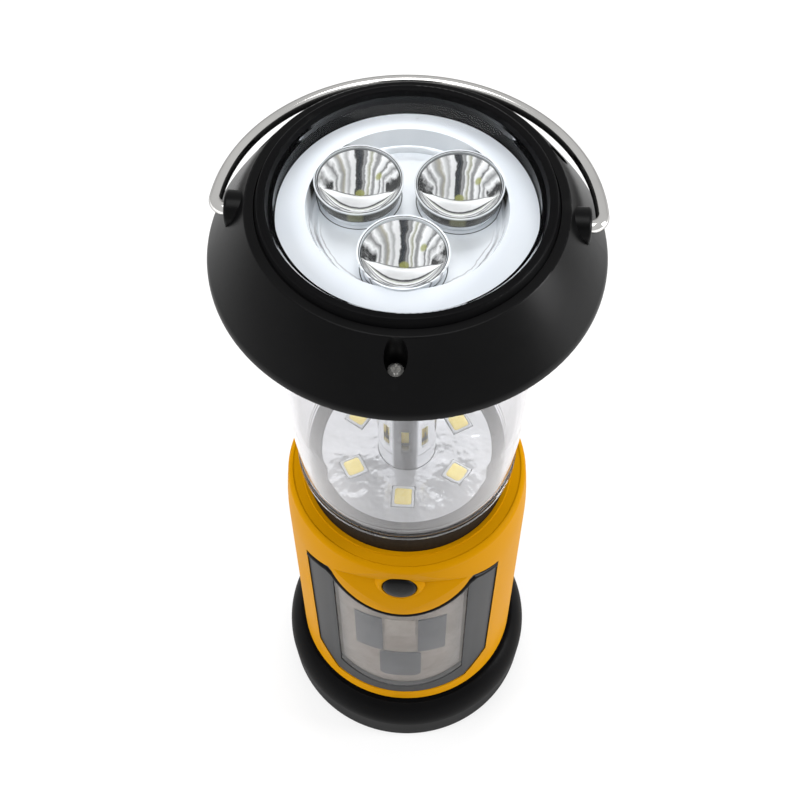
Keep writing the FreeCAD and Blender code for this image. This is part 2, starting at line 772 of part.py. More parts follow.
def opening_path(inset):
    """The outline of the front opening; a negative inset makes a flange behind it."""
    edge = inset
    top = -inset if float(inset) < 0 else inset
    return [
        (-window_half, window_top_z - top),
        Bend(tongue_round(window_half, window_top_z, tongue_z), -1),
        (window_half, window_top_z - top),
        (bezel_shoulder_x, bezel_shoulder_z - edge),
        (bezel_corner_x - edge, bezel_corner_z - edge),
        (bezel_low_x - edge, bezel_low_z),
        (bezel_foot_x - edge, bezel_foot_z + edge),
        Bend(tongue_round(bezel_foot_x, bezel_foot_z, bezel_bottom_z), 1),
        (-bezel_foot_x + edge, bezel_foot_z + edge),
        (-bezel_low_x + edge, bezel_low_z),
        (-bezel_corner_x + edge, bezel_corner_z - edge),
        (-bezel_shoulder_x, bezel_shoulder_z - edge),
    ]


def base_ring():
    seat = base_plate_radius + fit_gap
    belly = base_radius - base_top_radius
    rise = base_top_z - base_belly_z
    top_round = (belly * belly + rise * rise) / (2 * belly)
    return turned("base_ring", [
        (seat, 0), (base_foot_radius - base_foot_edge, 0), Bend(base_foot_round, -1),
        (base_foot_radius + base_foot_edge, base_foot_round),
        (base_radius, base_belly_z), Bend(top_round, -1),
        (base_top_radius, base_top_z), Bend(base_top_round, -1),
        (base_top_radius - base_top_step, base_top_z + base_top_rise),
        (base_neck_radius, base_top_z + base_top_rise),
        (base_neck_radius, body_foot_z), (base_bore_radius, body_foot_z),
        (base_bore_radius, base_plate_thick), (seat, base_plate_thick),
    ])


cell_xs = [cell_pitch * place_number for place_number in (-1, 0, 1)]
door_half_x = cell_pitch + cell_radius + door_gap + door_lip
door_half_y = cell_radius + door_gap + door_lip
tray_half_x = cell_pitch + cell_radius + face_gap + tray_wall
tray_half_y = cell_radius + face_gap + tray_wall
tray_low_z = cell_foot_z - 2
tray_high_z = cell_foot_z + cell_length + cell_nub_height + contact_thick + tray_top
BASE_SCREWS = polar(3, -90)


def around(radius, azimuth, z=0):
    """A bound position at an azimuth in degrees on a circle about the Z axis."""
    return (radius * cosine(azimuth), radius * sine(azimuth), as_size(z))


def base_plate():
    plate = cylinder("plate_disc", base_plate_radius, base_plate_thick)
    low_y = cell_y - door_half_y
    way_x = door_half_x - door_lip
    way_y = door_half_y - door_lip
    tools = [
        box("plate_door_seat", 2 * door_half_x, 2 * door_half_y, door_thick, -door_half_x, low_y, 0),
        box("plate_door_way", 2 * way_x, 2 * way_y, 10, -way_x, low_y + door_lip, 0),
    ]
    for index, azimuth in enumerate(BASE_SCREWS):
        x, y, z = around(base_screw_circle, azimuth)
        tools.append(cylinder("plate_hole_%d" % index, base_screw_radius, 10, x, y, z))
        tools.append(cylinder("plate_sink_%d" % index, base_screw_head + fit_gap, base_screw_sink,
                              x, y, z))
    return cut("base_plate", plate, *tools)


def battery_door():
    """The sliding leaf and the four catches that hook over the plate round its opening."""
    half_x = door_half_x - fit_gap
    half_y = door_half_y - fit_gap
    parts = [box("door_leaf", 2 * half_x, 2 * half_y, door_thick - under_inset, -half_x,
                 cell_y - half_y, under_inset)]
    inner_y = door_half_y - door_lip - door_gap
    catch_z = base_plate_thick + 2 * shaft_gap
    for index, side_x in enumerate((-door_hook_x, door_hook_x)):
        x = side_x - door_hook_width / 2
        for side_name, way in (("front", -1), ("rear", 1)):
            wall_y = cell_y + way * inner_y
            low_y = wall_y if way < 0 else wall_y - door_hook_thick
            catch_y = low_y - door_catch if way < 0 else low_y
            name = "door_hook_%s_%d" % (side_name, index)
            parts.append(box(name + "_stem", door_hook_width, door_hook_thick,
                             catch_z + door_catch - door_thick, x, low_y, door_thick))
            parts.append(box(name + "_catch", door_hook_width, door_hook_thick + door_catch,
                             door_catch, x, catch_y, catch_z))
    return fuse("battery_door", *parts)


def base_screws():
    parts = []
    head_height = base_screw_sink - under_inset
    for index, azimuth in enumerate(BASE_SCREWS):
        x, y, z = around(base_screw_circle, azimuth)
        head = cylinder("base_screw_head_%d" % index, base_screw_head, head_height, x, y, under_inset)
        shank = cylinder("base_screw_shank_%d" % index, base_screw_radius, base_screw_length,
                         x, y, base_screw_sink)
        slot = cross_tool("base_screw_cross_%d" % index, x, y, under_inset, base_screw_head)
        parts.append(cut("base_screw_%d" % index, fuse("base_screw_body_%d" % index, head, shank), slot))
    return group("base_screws", parts)


def cross_tool(name, x, y, z, reach, up=False):
    """The cross recess of a screw head, cut into the face at this height."""
    arm = cross_arm_share * reach
    width = cross_width_share * reach
    deep = cross_depth_share * reach
    low = z - deep if up else z - 1
    height = deep + 1
    return fuse(
        name,
        box(name + "_a", 2 * arm, width, height, x - arm, y - width / 2, low),
        box(name + "_b", width, 2 * arm, height, x - width / 2, y - arm, low),
    )


def scoop_tool():
    """The thumb scoop: a curved outline swept about an axis behind the lantern."""
    deepest = body_radius + scoop_axis_y - scoop_deep
    edge = body_radius + scoop_axis_y
    low_rise = scoop_deep_z - scoop_low_z
    low_round = (low_rise * low_rise + scoop_deep * scoop_deep) / (2 * scoop_deep)
    high_rise = scoop_high_z - scoop_deep_z
    high_round = (high_rise * high_rise + scoop_high_deep * scoop_high_deep) / (2 * scoop_high_deep)
    high_edge = deepest + scoop_high_deep
    body = turned("scoop_tool", [
        (deepest, scoop_deep_z), Bend(low_round, 1), (edge, scoop_low_z),
        (edge + 6, scoop_low_z), (edge + 6, scoop_high_z), (high_edge, scoop_high_z),
        Bend(high_round, 1),
    ], float(scoop_sweep))
    return place(body, 0, scoop_axis_y, 0, about_z(-90 - float(scoop_sweep) / 2))


def shell_solid():
    """The turned yellow tube with its shoulder, ceiling and seat for the collar."""
    seat = collar_radius + collar_gap
    side_rise = shoulder_z - body_side_z
    side_drop = body_radius - shoulder_radius
    side_round = (side_rise * side_rise + side_drop * side_drop) / (2 * side_drop)
    inner = body_radius - body_wall
    return turned("shell_tube", [
        (inner, body_foot_z), (body_radius, body_foot_z), (body_radius, body_side_z),
        Bend(side_round, -1), (shoulder_radius, shoulder_z), Bend(shoulder_round, -1),
        (step_radius, step_z), (step_radius - step_lip, step_z - step_drop),
        (collar_lip_radius + collar_lip_run, body_top_z - collar_lip_drop),
        (collar_lip_radius, body_top_z), (seat, body_top_z), (seat, collar_seat_z),
        (wire_way_radius, collar_seat_z), (wire_way_radius, ceiling_z),
        (inner - ceiling_corner, ceiling_z), (inner, body_side_z),
    ])


def rear_bar(name, radius, y_low, y_high, x, z):
    """A round bar along Y."""
    return cylinder(name, radius, y_high - y_low, x, y_low, z, TO_REAR)


def radial_turn(azimuth):
    """Turns Z to point outwards at this azimuth."""
    return about_z(azimuth) * TO_RIGHT


def radial_bar(name, radius, start, end, azimuth, z):
    """A round bar pointing outwards at an azimuth, from one radius to another."""
    x, y, height = around(start, azimuth, z)
    return cylinder(name, radius, end - start, x, y, height, radial_turn(azimuth))


def radial_box(name, start, end, half_width, low, high, azimuth):
    """A box pointing outwards at an azimuth, between two radii and two heights."""
    x = start * cosine(azimuth) + half_width * sine(azimuth)
    y = start * sine(azimuth) - half_width * cosine(azimuth)
    return box(name, end - start, 2 * half_width, high - low, x, y, low, about_z(azimuth))


TUNING_AZIMUTH = 90 - float(knob_azimuth)
VOLUME_AZIMUTH = 90 + float(knob_azimuth)
BAND_AZIMUTH = 90 + float(band_azimuth)
JACK_AZIMUTH = 90 - float(jack_azimuth)
inner_radius = body_radius - body_wall
crank_rear_y = body_radius + crank_gap
cover_axis_r = body_radius + cover_axis_out
cover_axis_z = jack_z - cover_half_height - cover_axis_drop
cover_side_gap = 2 * shaft_gap
gear_post_y = gear_plate_y + gear_plate_thick
GEAR_POSTS = [(way * gear_post_x, z) for way in (-1, 1) for z in (gear_post_low_z, gear_post_high_z)]


def antenna_turn():
    return Rotation(Vector(1, 0, 0), -90 - float(antenna_lean))


def antenna_bar(name, radius, low, high, along=0, across=0):
    """A bar on the antenna's swivel axis, between two distances outwards from its pivot."""
    x = antenna_x + along
    y = antenna_y + low * cosine(antenna_lean) + across * sine(antenna_lean)
    z = antenna_z - low * sine(antenna_lean) + across * cosine(antenna_lean)
    return cylinder(name, radius, high - low, x, y, z, antenna_turn())


def shell_inside_posts():
    """Bosses that carry the gear plate, the speaker and the crank's bush."""
    bars = [rear_bar("gear_post_%d" % index, gear_post_radius, gear_post_y, body_radius, x, z)
            for index, (x, z) in enumerate(GEAR_POSTS)]
    low = speaker_front_y - speaker_depth + speaker_wall_lap
    around_speaker = cut(
        "speaker_wall",
        rear_bar("speaker_wall_out", speaker_radius + speaker_wall, low, body_radius, 0, speaker_z),
        rear_bar("speaker_wall_in", speaker_radius + fit_gap, low - 1, body_radius, 0, speaker_z))
    around_bush = rear_bar("bush_wall", bush_flange_radius + bush_wall, speaker_front_y + bush_flange,
                           body_radius, 0, crank_z)
    trim = cylinder("post_trim", body_radius - post_inset, body_top_z)
    return common("shell_posts", fuse("shell_post_bars", around_speaker, around_bush, *bars), trim)


def shell_base_bosses():
    parts = []
    for index, azimuth in enumerate(BASE_SCREWS):
        x, y, z = around(base_screw_circle, azimuth, base_plate_thick)
        boss = cylinder("base_boss_%d" % index, base_boss_radius, base_boss_top_z - base_plate_thick,
                        x, y, z)
        web = radial_box("base_web_%d" % index, base_screw_circle, inner_radius + 1, base_web_half,
                         body_foot_z, base_boss_top_z, azimuth)
        pilot = cylinder("base_pilot_%d" % index, base_screw_radius,
                         base_screw_sink + base_screw_length + face_gap, x, y, 0)
        whole = fuse("base_boss_web_%d" % index, boss, web)
        parts.append(cut("base_boss_hole_%d" % index, whole, pilot))
    return parts


def grille_tools():
    """Holes in staggered rows over the speaker, as far out as its frame allows."""
    tools = []
    row_pitch = grille_pitch * sine(60)
    reach = int(float(speaker_radius / row_pitch))
    for column in range(-reach, reach + 1):
        for row in range(-reach, reach + 1):
            x = grille_pitch * (column + 0.5 * (row % 2))
            z = row_pitch * row
            if math.hypot(float(x), float(z)) < float(speaker_radius - grille_edge):
                name = "grille_%d_%d" % (column + reach, row + reach)
                tools.append(rear_bar(name, grille_hole_radius, speaker_front_y, body_radius + 1, x,
                                      speaker_z + z))
    return tools


def shell_openings():
    tools = [rear_bar("bush_hole", bush_radius + shaft_gap, speaker_front_y, body_radius + 1, 0, crank_z)]
    for name, azimuth in (("tuning", TUNING_AZIMUTH), ("volume", VOLUME_AZIMUTH)):
        tools.append(radial_bar(name + "_hole", radio_shaft_radius + face_gap, inner_radius - 2,
                                body_radius + 1, azimuth, radio_knob_z))
    slot_half = band_slot_height / 2
    tools.append(radial_box("band_slot", inner_radius - 2, body_radius + 1, band_slot_half,
                            band_z - slot_half, band_z + slot_half, BAND_AZIMUTH))
    hole_height = jack_half_height + fit_gap
    tools.append(radial_box("jack_hole", inner_radius - 3, body_radius + 1, jack_half_width + fit_gap,
                            jack_z - hole_height, jack_z + hole_height, JACK_AZIMUTH))
    seat_height = cover_half_height + face_gap
    tools.append(radial_box("cover_seat", body_radius - cover_seat, body_radius + 2,
                            cover_half_width + face_gap, jack_z - seat_height, jack_z + seat_height,
                            JACK_AZIMUTH))
    barrel_room = cover_barrel + face_gap
    tools.append(radial_box("cover_barrel_way", cover_axis_r - barrel_room, body_radius + 2,
                            cover_barrel_half + cover_side_gap, cover_axis_z - barrel_room,
                            cover_axis_z + barrel_room, JACK_AZIMUTH))
    for index, (x, z) in enumerate(GEAR_POSTS):
        tools.append(rear_bar("gear_pilot_%d" % index, screw_shank_radius, gear_plate_y,
                              gear_post_y + gear_screw_length + fit_gap, x, z))
    return tools


def button_bar(name, radius, low, high):
    """A bar on the power button's tilted axis, between two depths behind its face."""
    y = -button_face + low * cosine(button_tilt)
    z = button_z - low * sine(button_tilt)
    return cylinder(name, radius, high - low, 0, y, z, Rotation(Vector(1, 0, 0), -90 - float(button_tilt)))


def body_shell():
    opening = padded("front_opening", opening_path(as_size(0)), body_radius + 10, "XZ_Plane")
    open_tube = cut("shell_open", shell_solid(), opening)
    pad_path = [
        (-window_half, window_top_z), Bend(tongue_round(window_half, window_top_z, tongue_z), -1),
        (window_half, window_top_z), (window_half, ceiling_z + 1), (-window_half, ceiling_z + 1),
    ]
    pad = front_sector("tongue_pad", pad_path, inner_radius + collar_lip_drop, tongue_pad_radius)
    boss_low = -(antenna_y - side(shoulder_radius, antenna_x) + 1)
    antenna_boss = antenna_bar("antenna_boss", antenna_boss_radius, boss_low, -antenna_block / 2 - face_gap)
    whole = fuse("shell_whole", open_tube, pad, shell_inside_posts(), antenna_boss,
                 *shell_base_bosses(), *board_clips())
    button_hole = button_bar("button_hole", button_radius + button_gap, -button_length, 2 * button_length)
    pilot = antenna_bar("antenna_pilot", antenna_pin_radius, -antenna_pin_depth - fit_gap, as_size(0))
    carved = cut("shell_carved", whole, pilot, scoop_tool(), button_hole, *shell_openings(),
                 *grille_tools())
    return fuse("body_shell", carved, cover_lugs())


def front_bezel():
    outer = body_radius - bezel_inset
    inner = panel_outer + shaft_gap
    frame = front_sector("bezel_frame", opening_path(fit_gap), outer, inner)
    hole = padded("bezel_window_hole", window_path(as_size(0)), body_radius + 10, "XZ_Plane")
    return cut("front_bezel", frame, hole)


window_outer = body_radius - window_inset
window_inner = window_outer - window_thick
panel_outer = window_inner - panel_gap
panel_inner = panel_outer - panel_thick


def front_window():
    return front_sector("front_window", window_path(fit_gap), window_outer, window_inner)


def display_panel():
    return front_sector("display_panel", opening_path(-bezel_flange), panel_outer, panel_inner)


def raised_tile(name, x_low, x_high, z_low, z_high):
    path = rectangle(x_low, x_high, z_low, z_high)
    return front_sector(name, path, panel_outer + tile_raise, panel_outer)


def indicator_tiles():
    return group("indicator_tiles", [
        raised_tile("tile_left", -tile_outer_x, -tile_inner_x, tile_low_z, tile_high_z),
        raised_tile("tile_right", tile_inner_x, tile_outer_x, tile_low_z, tile_high_z),
    ])


def display_screen():
    half = screen_half
    corner = screen_chamfer
    return front_sector("display_screen", [
        (-half + corner, screen_low_z), (half - corner, screen_low_z), (half, screen_low_z + corner),
        (half, screen_high_z - corner), (half - corner, screen_high_z), (-half + corner, screen_high_z),
        (-half, screen_high_z - corner), (-half, screen_low_z + corner),
    ], panel_outer + tile_raise, panel_outer)


def dial_plate():
    return raised_tile("dial_plate", -plate_half, plate_half, plate_low_z, plate_high_z)


def power_button():
    rise = button_dome - button_edge
    dome = (button_radius * button_radius + rise * rise) / (2 * rise)
    body = turned("power_button", [
        (0, -button_dome), Bend(dome, -1), (button_radius, -button_edge), (button_radius, button_length),
        (button_flange_radius, button_length), (button_flange_radius, button_length + button_flange),
        (0, button_length + button_flange),
    ])
    return place(body, 0, -button_face, button_z, Rotation(Vector(1, 0, 0), -90 - float(button_tilt)))


board_rear_y = main_board_front_y + main_board_thick
plunger_tip = button_length + button_flange + button_travel + plunger_gap
plunger_y = -button_face + plunger_tip * cosine(button_tilt)
plunger_z = button_z - plunger_tip * sine(button_tilt)


def button_switch():
    can = box("switch_can", 2 * switch_half, switch_depth, 2 * switch_half, -switch_half,
              main_board_front_y - switch_depth, plunger_z - switch_half)
    plunger = rear_bar("switch_plunger", plunger_radius, plunger_y, main_board_front_y, 0, plunger_z)
    return fuse("button_switch", can, plunger)


def chip(name, x, z, width, height, face_y):
    """A flat packaged chip standing on a board's rear face."""
    return box(name, width, chip_thick, height, x, face_y, z)


def main_board():
    parts = [
        box("board_sheet", 2 * main_board_half, main_board_thick, main_board_high_z - main_board_low_z,
            -main_board_half, main_board_front_y, main_board_low_z),
        chip("lamp_driver", -12, 68, 9, 9, board_rear_y),
        chip("radio_tuner", 3, 70, 11, 7, board_rear_y),
        chip("charge_control", -6, 84, 12, 6, board_rear_y),
        chip("display_driver", 9, 86, 5, 12, board_rear_y),
    ]
    for index, x in enumerate((-2 * capacitor_x, as_size(0))):
        parts.append(rear_bar("capacitor_%d" % index, capacitor_radius, board_rear_y,
                              board_rear_y + capacitor_length, x, capacitor_z))
    return group("main_board", parts)


def battery_tray():
    shell = box("tray_block", 2 * tray_half_x, 2 * tray_half_y, tray_high_z - tray_low_z,
                -tray_half_x, cell_y - tray_half_y, tray_low_z)
    strip_half = tray_half_y - tray_flange_inset
    flange = common(
        "tray_flange",
        cylinder("tray_flange_disc", inner_radius - fit_gap, tray_flange_thick, 0, 0,
                 body_foot_z + collar_gap),
        box("tray_flange_strip", 2 * body_radius, 2 * strip_half, 10, -body_radius,
            cell_y - strip_half, body_foot_z))
    posts = []
    for index, side_x in enumerate((-tray_post_x, tray_post_x)):
        posts.append(box("tray_post_%d" % index, tray_post, cell_y - tray_half_y - board_rear_y,
                         tray_post_height, side_x - tray_post / 2, board_rear_y, main_board_low_z + 1))
    bore_height = tray_high_z - tray_top - tray_low_z
    bores = [cylinder("tray_bore_%d" % index, cell_radius + face_gap, bore_height, x, cell_y, tray_low_z)
             for index, x in enumerate(cell_xs)]
    return cut("battery_tray", fuse("tray_whole", shell, flange, *posts), *bores)


def battery_cells():
    parts = []
    for index, x in enumerate(cell_xs):
        can = cylinder("cell_can_%d" % index, cell_radius, cell_length, x, cell_y, cell_foot_z)
        nub = cylinder("cell_nub_%d" % index, cell_nub_radius, cell_nub_height, x, cell_y,
                       cell_foot_z + cell_length)
        parts.append(fuse("cell_%d" % index, can, nub))
    return group("battery_cells", parts)


def battery_contacts():
    """A flat plate over each cell and a cone-shaped spring on the door under it."""
    parts = []
    top_z = tray_high_z - tray_top - contact_thick
    spring_low = door_thick + contact_thick
    spring_top = contact_half / 2
    rise = cell_foot_z - spring_low
    for index, x in enumerate(cell_xs):
        parts.append(box("contact_top_%d" % index, 2 * contact_half, 2 * contact_half, contact_thick,
                         x - contact_half, cell_y - contact_half, top_z))
        foot = cylinder("contact_foot_%d" % index, contact_half, contact_thick, x, cell_y, door_thick)
        outer = cone("contact_cone_%d" % index, contact_half, spring_top, rise, x, cell_y, spring_low)
        inner = cone("contact_cone_in_%d" % index, contact_half - spring_wall, spring_top - spring_wall,
                     rise, x, cell_y, spring_low)
        cap = cylinder("contact_cap_%d" % index, spring_top, contact_thick, x, cell_y,
                       cell_foot_z - contact_thick)
        wall = cut("contact_wall_%d" % index, outer, inner)
        parts.append(fuse("contact_spring_%d" % index, foot, wall, cap))
    return group("battery_contacts", parts)


def lens_collar():
    step = floor_radius + fit_gap
    return turned("lens_collar", [
        (collar_bore, collar_seat_z), (collar_radius, collar_seat_z), (collar_radius, collar_top_z),
        (step, collar_top_z), (step, collar_ledge_z), (collar_bore, collar_ledge_z),
    ])


floor_board_top = collar_ledge_z + floor_board_thick


def floor_board():
    return ring("floor_board", floor_radius, housing_wire_way, collar_ledge_z, floor_board_thick)


def led_box(name, circle, width, thick, low, height, azimuth):
    """A square-based box set radially, its middle on a circle."""
    return radial_box(name, circle - thick / 2, circle + thick / 2, width / 2, low, low + height, azimuth)


def floor_reflector():
    disc = cylinder("floor_disc", floor_radius, floor_top_z - floor_board_top, 0, 0, floor_board_top)
    tools = [cylinder("floor_column_way", column_radius + fit_gap, 10, 0, 0, floor_board_top - 1)]
    for index, azimuth in enumerate(polar(floor_led_count, -90)):
        tools.append(led_box("floor_slot_%d" % index, floor_led_circle, floor_led_slot, floor_led_slot,
                             floor_board_top - 1, as_size(10), azimuth))
    return cut("floor_reflector", disc, *tools)


def floor_leds():
    height = floor_top_z + floor_led_top - floor_board_top
    return group("floor_leds", [
        led_box("floor_led_%d" % index, floor_led_circle, floor_led_width, floor_led_width,
                floor_board_top, height, azimuth)
        for index, azimuth in enumerate(polar(floor_led_count, -90))])


def lens_radius_at(z):
    """The lantern lens's outer radius on its long upper taper."""
    share = (z - lens_mid_z) / (lens_top_z - lens_mid_z)
    return lens_mid_radius + (lens_top_radius - lens_mid_radius) * share


def lantern_lens():
    wall = lens_wall
    return turned("lantern_lens", [
        (lens_foot_bore, collar_top_z), (lens_foot_radius, collar_top_z),
        (lens_waist_radius, lens_waist_z), (lens_mid_radius, lens_mid_z), (lens_top_radius, lens_top_z),
        (lens_top_radius - wall, lens_top_z), (lens_mid_radius - wall, lens_mid_z),
        (lens_waist_radius - wall, lens_waist_z), (lens_foot_radius - wall, collar_top_z + lens_flange),
        (lens_foot_bore, collar_top_z + lens_flange),
    ])


WINDOW_ROWS = range(int(float(column_window_rows)))


def reflector_column():
    tube = ring("column_tube", column_radius, column_radius - column_wall, floor_board_top,
                housing_floor_z - floor_board_top)
    tools = []
    for row in WINDOW_ROWS:
        low = column_window_z + column_window_step * row
        for index, azimuth in enumerate(polar(column_window_count, -90)):
            tools.append(radial_box("column_way_%d_%d" % (row, index), column_radius - 3, column_radius + 1,
                                    column_window_width / 2, low, low + column_window_height, azimuth))
    return cut("reflector_column", tube, *tools)


def column_board():
    prism = doc.addObject("Part::Prism", "column_prism")
    prism.Polygon = int(float(column_window_count))
    half_step = 180.0 / float(column_window_count)
    bind(prism, "Circumradius", column_board_radius / cosine(half_step))
    bind(prism, "Height", housing_floor_z - floor_board_top - 3)
    place(prism, 0, 0, floor_board_top, about_z(-90 + half_step))
    bore = cylinder("column_board_bore", column_board_radius - column_board_wall, housing_floor_z, 0, 0,
                    floor_board_top - 1)
    return cut("column_board", prism, bore)


def column_leds():
    parts = []
    middle = column_board_radius + column_led_thick / 2
    for row in WINDOW_ROWS:
        low = column_window_z + column_window_step * row - 0.3
        for index, azimuth in enumerate(polar(column_window_count, -90)):
            parts.append(led_box("column_led_%d_%d" % (row, index), middle, column_led_width,
                                 column_led_thick, low, column_window_height + 0.6, azimuth))
    return group("column_leds", parts)


housing_radius = lens_radius_at(housing_floor_z) - lens_wall - housing_gap
housing_seat_z = lens_top_z + shaft_gap
housing_flange_top = housing_seat_z + housing_flange_thick


def lamp_housing():
    """The black tray above the lantern chamber that carries the spot lamp's board."""
    floor_top = housing_floor_z + housing_floor_thick
    pan = turned("housing_pan", [
        (housing_wire_way, housing_floor_z), (housing_radius, housing_floor_z),
        (housing_radius, housing_seat_z), (housing_flange_radius, housing_seat_z),
        (housing_flange_radius, housing_flange_top), (housing_radius - housing_wall, housing_flange_top),
        (housing_radius - housing_wall, floor_top), (housing_wire_way, floor_top),
    ])
    parts = [pan]
    for index, azimuth in enumerate(polar(3, 90)):
        parts.append(cylinder("housing_post_%d" % index, housing_post_radius, spot_board_z - floor_top,
                              *around(housing_post_circle, azimuth, floor_top)))
    tools = []
    for index, azimuth in enumerate(polar(3, -90)):
        parts.append(radial_box("housing_tab_%d" % index, housing_flange_radius - 1, screw_circle,
                                screw_post_radius, housing_seat_z, housing_flange_top, azimuth))
        parts.append(cylinder("housing_tab_post_%d" % index, screw_post_radius,
                              housing_flange_top - screw_post_z,
                              *around(screw_circle, azimuth, screw_post_z)))
        tools.append(cylinder("housing_pilot_%d" % index, screw_shank_radius, 20,
                              *around(screw_circle, azimuth, screw_post_z - 1)))
    return cut("lamp_housing", fuse("housing_whole", *parts), *tools)


def spot_board():
    return ring("spot_board", spot_board_radius, housing_wire_way / 2, spot_board_z, spot_board_thick)


CUP_AZIMUTHS = polar(cup_count, -90)
spot_board_top = spot_board_z + spot_board_thick


def spot_leds():
    """The three lamp chips: a square base under a low clear dome."""
    parts = []
    base = spot_led_height * 0.4
    for index, azimuth in enumerate(CUP_AZIMUTHS):
        x, y, z = around(cup_circle, azimuth, spot_board_top)
        foot = cylinder("spot_led_foot_%d" % index, spot_led_radius, base, x, y, z)
        dome = cone("spot_led_dome_%d" % index, spot_led_radius * 0.85, spot_led_radius * 0.4,
                    spot_led_height - base, x, y, z + base)
        parts.append(fuse("spot_led_%d" % index, foot, dome))
    return group("spot_leds", parts)


def cup_body(name, shrink, overshoot, azimuth):
    """One bowl-shaped reflector cup as a solid, narrow at its foot."""
    foot = cup_foot_radius - shrink
    rim = cup_radius - shrink
    curve = cup_top_z - cup_foot_z + 3.0
    body = turned(name, [
        (0, cup_foot_z - overshoot), (foot, cup_foot_z - overshoot), Bend(curve, -1),
        (rim, cup_top_z + overshoot), (0, cup_top_z + overshoot),
    ])
    return place(body, *around(cup_circle, azimuth))


def spot_reflector():
    base = turned("reflector_base", [
        (0, reflector_bowl_z - 1.2), (reflector_bowl + 0.9, reflector_bowl_z - 1.2),
        (reflector_crown + 0.9, reflector_crown_z - 2.6),
        (bezel_ring_ledge - 0.4, bezel_ring_ledge_z), (reflector_rim, bezel_ring_ledge_z),
        (reflector_rim, reflector_rim_z), (reflector_crown, reflector_crown_z),
        (reflector_bowl, reflector_bowl_z + 1.2), Bend(1.7, -1), (reflector_bowl - 1.2, reflector_bowl_z),
        (0, reflector_bowl_z),
    ])
    outers = [cup_body("cup_out_%d" % index, as_size(0), as_size(0), azimuth)
              for index, azimuth in enumerate(CUP_AZIMUTHS)]
    inners = [cup_body("cup_in_%d" % index, cup_wall, as_size(0.5), azimuth)
              for index, azimuth in enumerate(CUP_AZIMUTHS)]
    return cut("spot_reflector", fuse("reflector_whole", base, *outers), *inners)


def spot_lens():
    outer = bezel_ring_throat
    return turned("spot_lens", [
        (outer - 0.2 - spot_skirt, bezel_ring_ledge_z), (outer - 0.2, bezel_ring_ledge_z),
        (outer, spot_lens_z), (outer, spot_lens_z + spot_lens_thick), (0, spot_lens_z + spot_lens_thick),
        (0, spot_lens_z), (outer - 0.2 - spot_skirt, spot_lens_z),
    ])


def bezel_ring():
    edge = bezel_ring_round
    return turned("bezel_ring", [
        (bezel_ring_ledge, cap_shelf_z), (bezel_ring_foot, cap_shelf_z), (bezel_ring_foot, cap_top_z),
        (bezel_ring_outer, bezel_ring_top_z - edge), Bend(edge, -1),
        (bezel_ring_outer - edge, bezel_ring_top_z), (bezel_ring_inner + 0.4, bezel_ring_top_z),
        Bend(0.4, -1), (bezel_ring_inner, bezel_ring_top_z - 0.4),
        (bezel_ring_throat, bezel_ring_ledge_z), (bezel_ring_ledge, bezel_ring_ledge_z),
    ])


def dome_corners(shrink):
    """The dome's corners from the lip up to the ledge, this much inside its surface."""
    knee, flank = dome_knee_round, dome_flank_round
    low, high = dome_flank_angle, dome_knee_angle
    knee_r = cap_ledge_radius
    knee_z = cap_top_z - knee
    flank_r = knee_r + (knee - flank) * sine(high)
    flank_z = knee_z + (knee - flank) * cosine(high)
    side_round = (cap_radius - flank_r - flank * sine(low)) / (1 - sine(low))
    side_r = cap_radius - side_round
    side_z = flank_z + (flank - side_round) * cosine(low)
    side_in = side_round - shrink
    flank_in = flank - shrink
    knee_in = knee - shrink
    return {
        "side": (cap_radius - shrink, side_z),
        "side_round": side_in,
        "flank": (side_r + side_in * sine(low), side_z + side_in * cosine(low)),
        "flank_round": flank_in,
        "flank_middle": (flank_r, flank_z),
        "knee": (flank_r + flank_in * sine(high), flank_z + flank_in * cosine(high)),
        "knee_round": knee_in,
        "top": (knee_r, cap_top_z - shrink),
    }


def dome_way(dome):
    """The dome's outline upwards from its lip."""
    return [
        dome["side"], Bend(dome["side_round"], -1), dome["flank"], Bend(dome["flank_round"], -1),
        dome["knee"], Bend(dome["knee_round"], -1), dome["top"],
    ]


def cap_envelope():
    """Everything just inside the dome's outer surface, for trimming what is fused to it."""
    dome = dome_corners(shaft_gap)
    way = dome_way(dome)
    return turned("cap_trim", [
        (0, cap_lip_z), (cap_radius - shaft_gap, cap_lip_z), *way, (0, cap_top_z - shaft_gap),
    ])


def cap_shell():
    inner = dome_corners(cap_wall)
    rim_radius = cap_bore + cap_rim_thick
    rim_low = housing_flange_top + shaft_gap
    middle_r, middle_z = inner["flank_middle"]
    rim_high = middle_z + side(inner["flank_round"], rim_radius - middle_r)
    return turned("cap_shell", [
        (cap_radius - cap_wall, cap_lip_z), (cap_radius - cap_lip_round, cap_lip_z),
        Bend(cap_lip_round, -1), (cap_radius, cap_lip_z + cap_lip_round),
        *dome_way(dome_corners(as_size(0))),
        (cap_bore, cap_top_z), (cap_bore, cap_shelf_z), (cap_shelf_radius, cap_shelf_z),
        (cap_shelf_radius, cap_shelf_z - cap_shelf_thick), (cap_bore, cap_shelf_z - cap_shelf_thick),
        (cap_bore, rim_low), (rim_radius, rim_low), (rim_radius, rim_high),
        Bend(inner["flank_round"], 1), inner["flank"], Bend(inner["side_round"], 1), inner["side"],
    ])


UNDER_SCREWS = polar(3, 90)
WELLS = polar(3, -90)


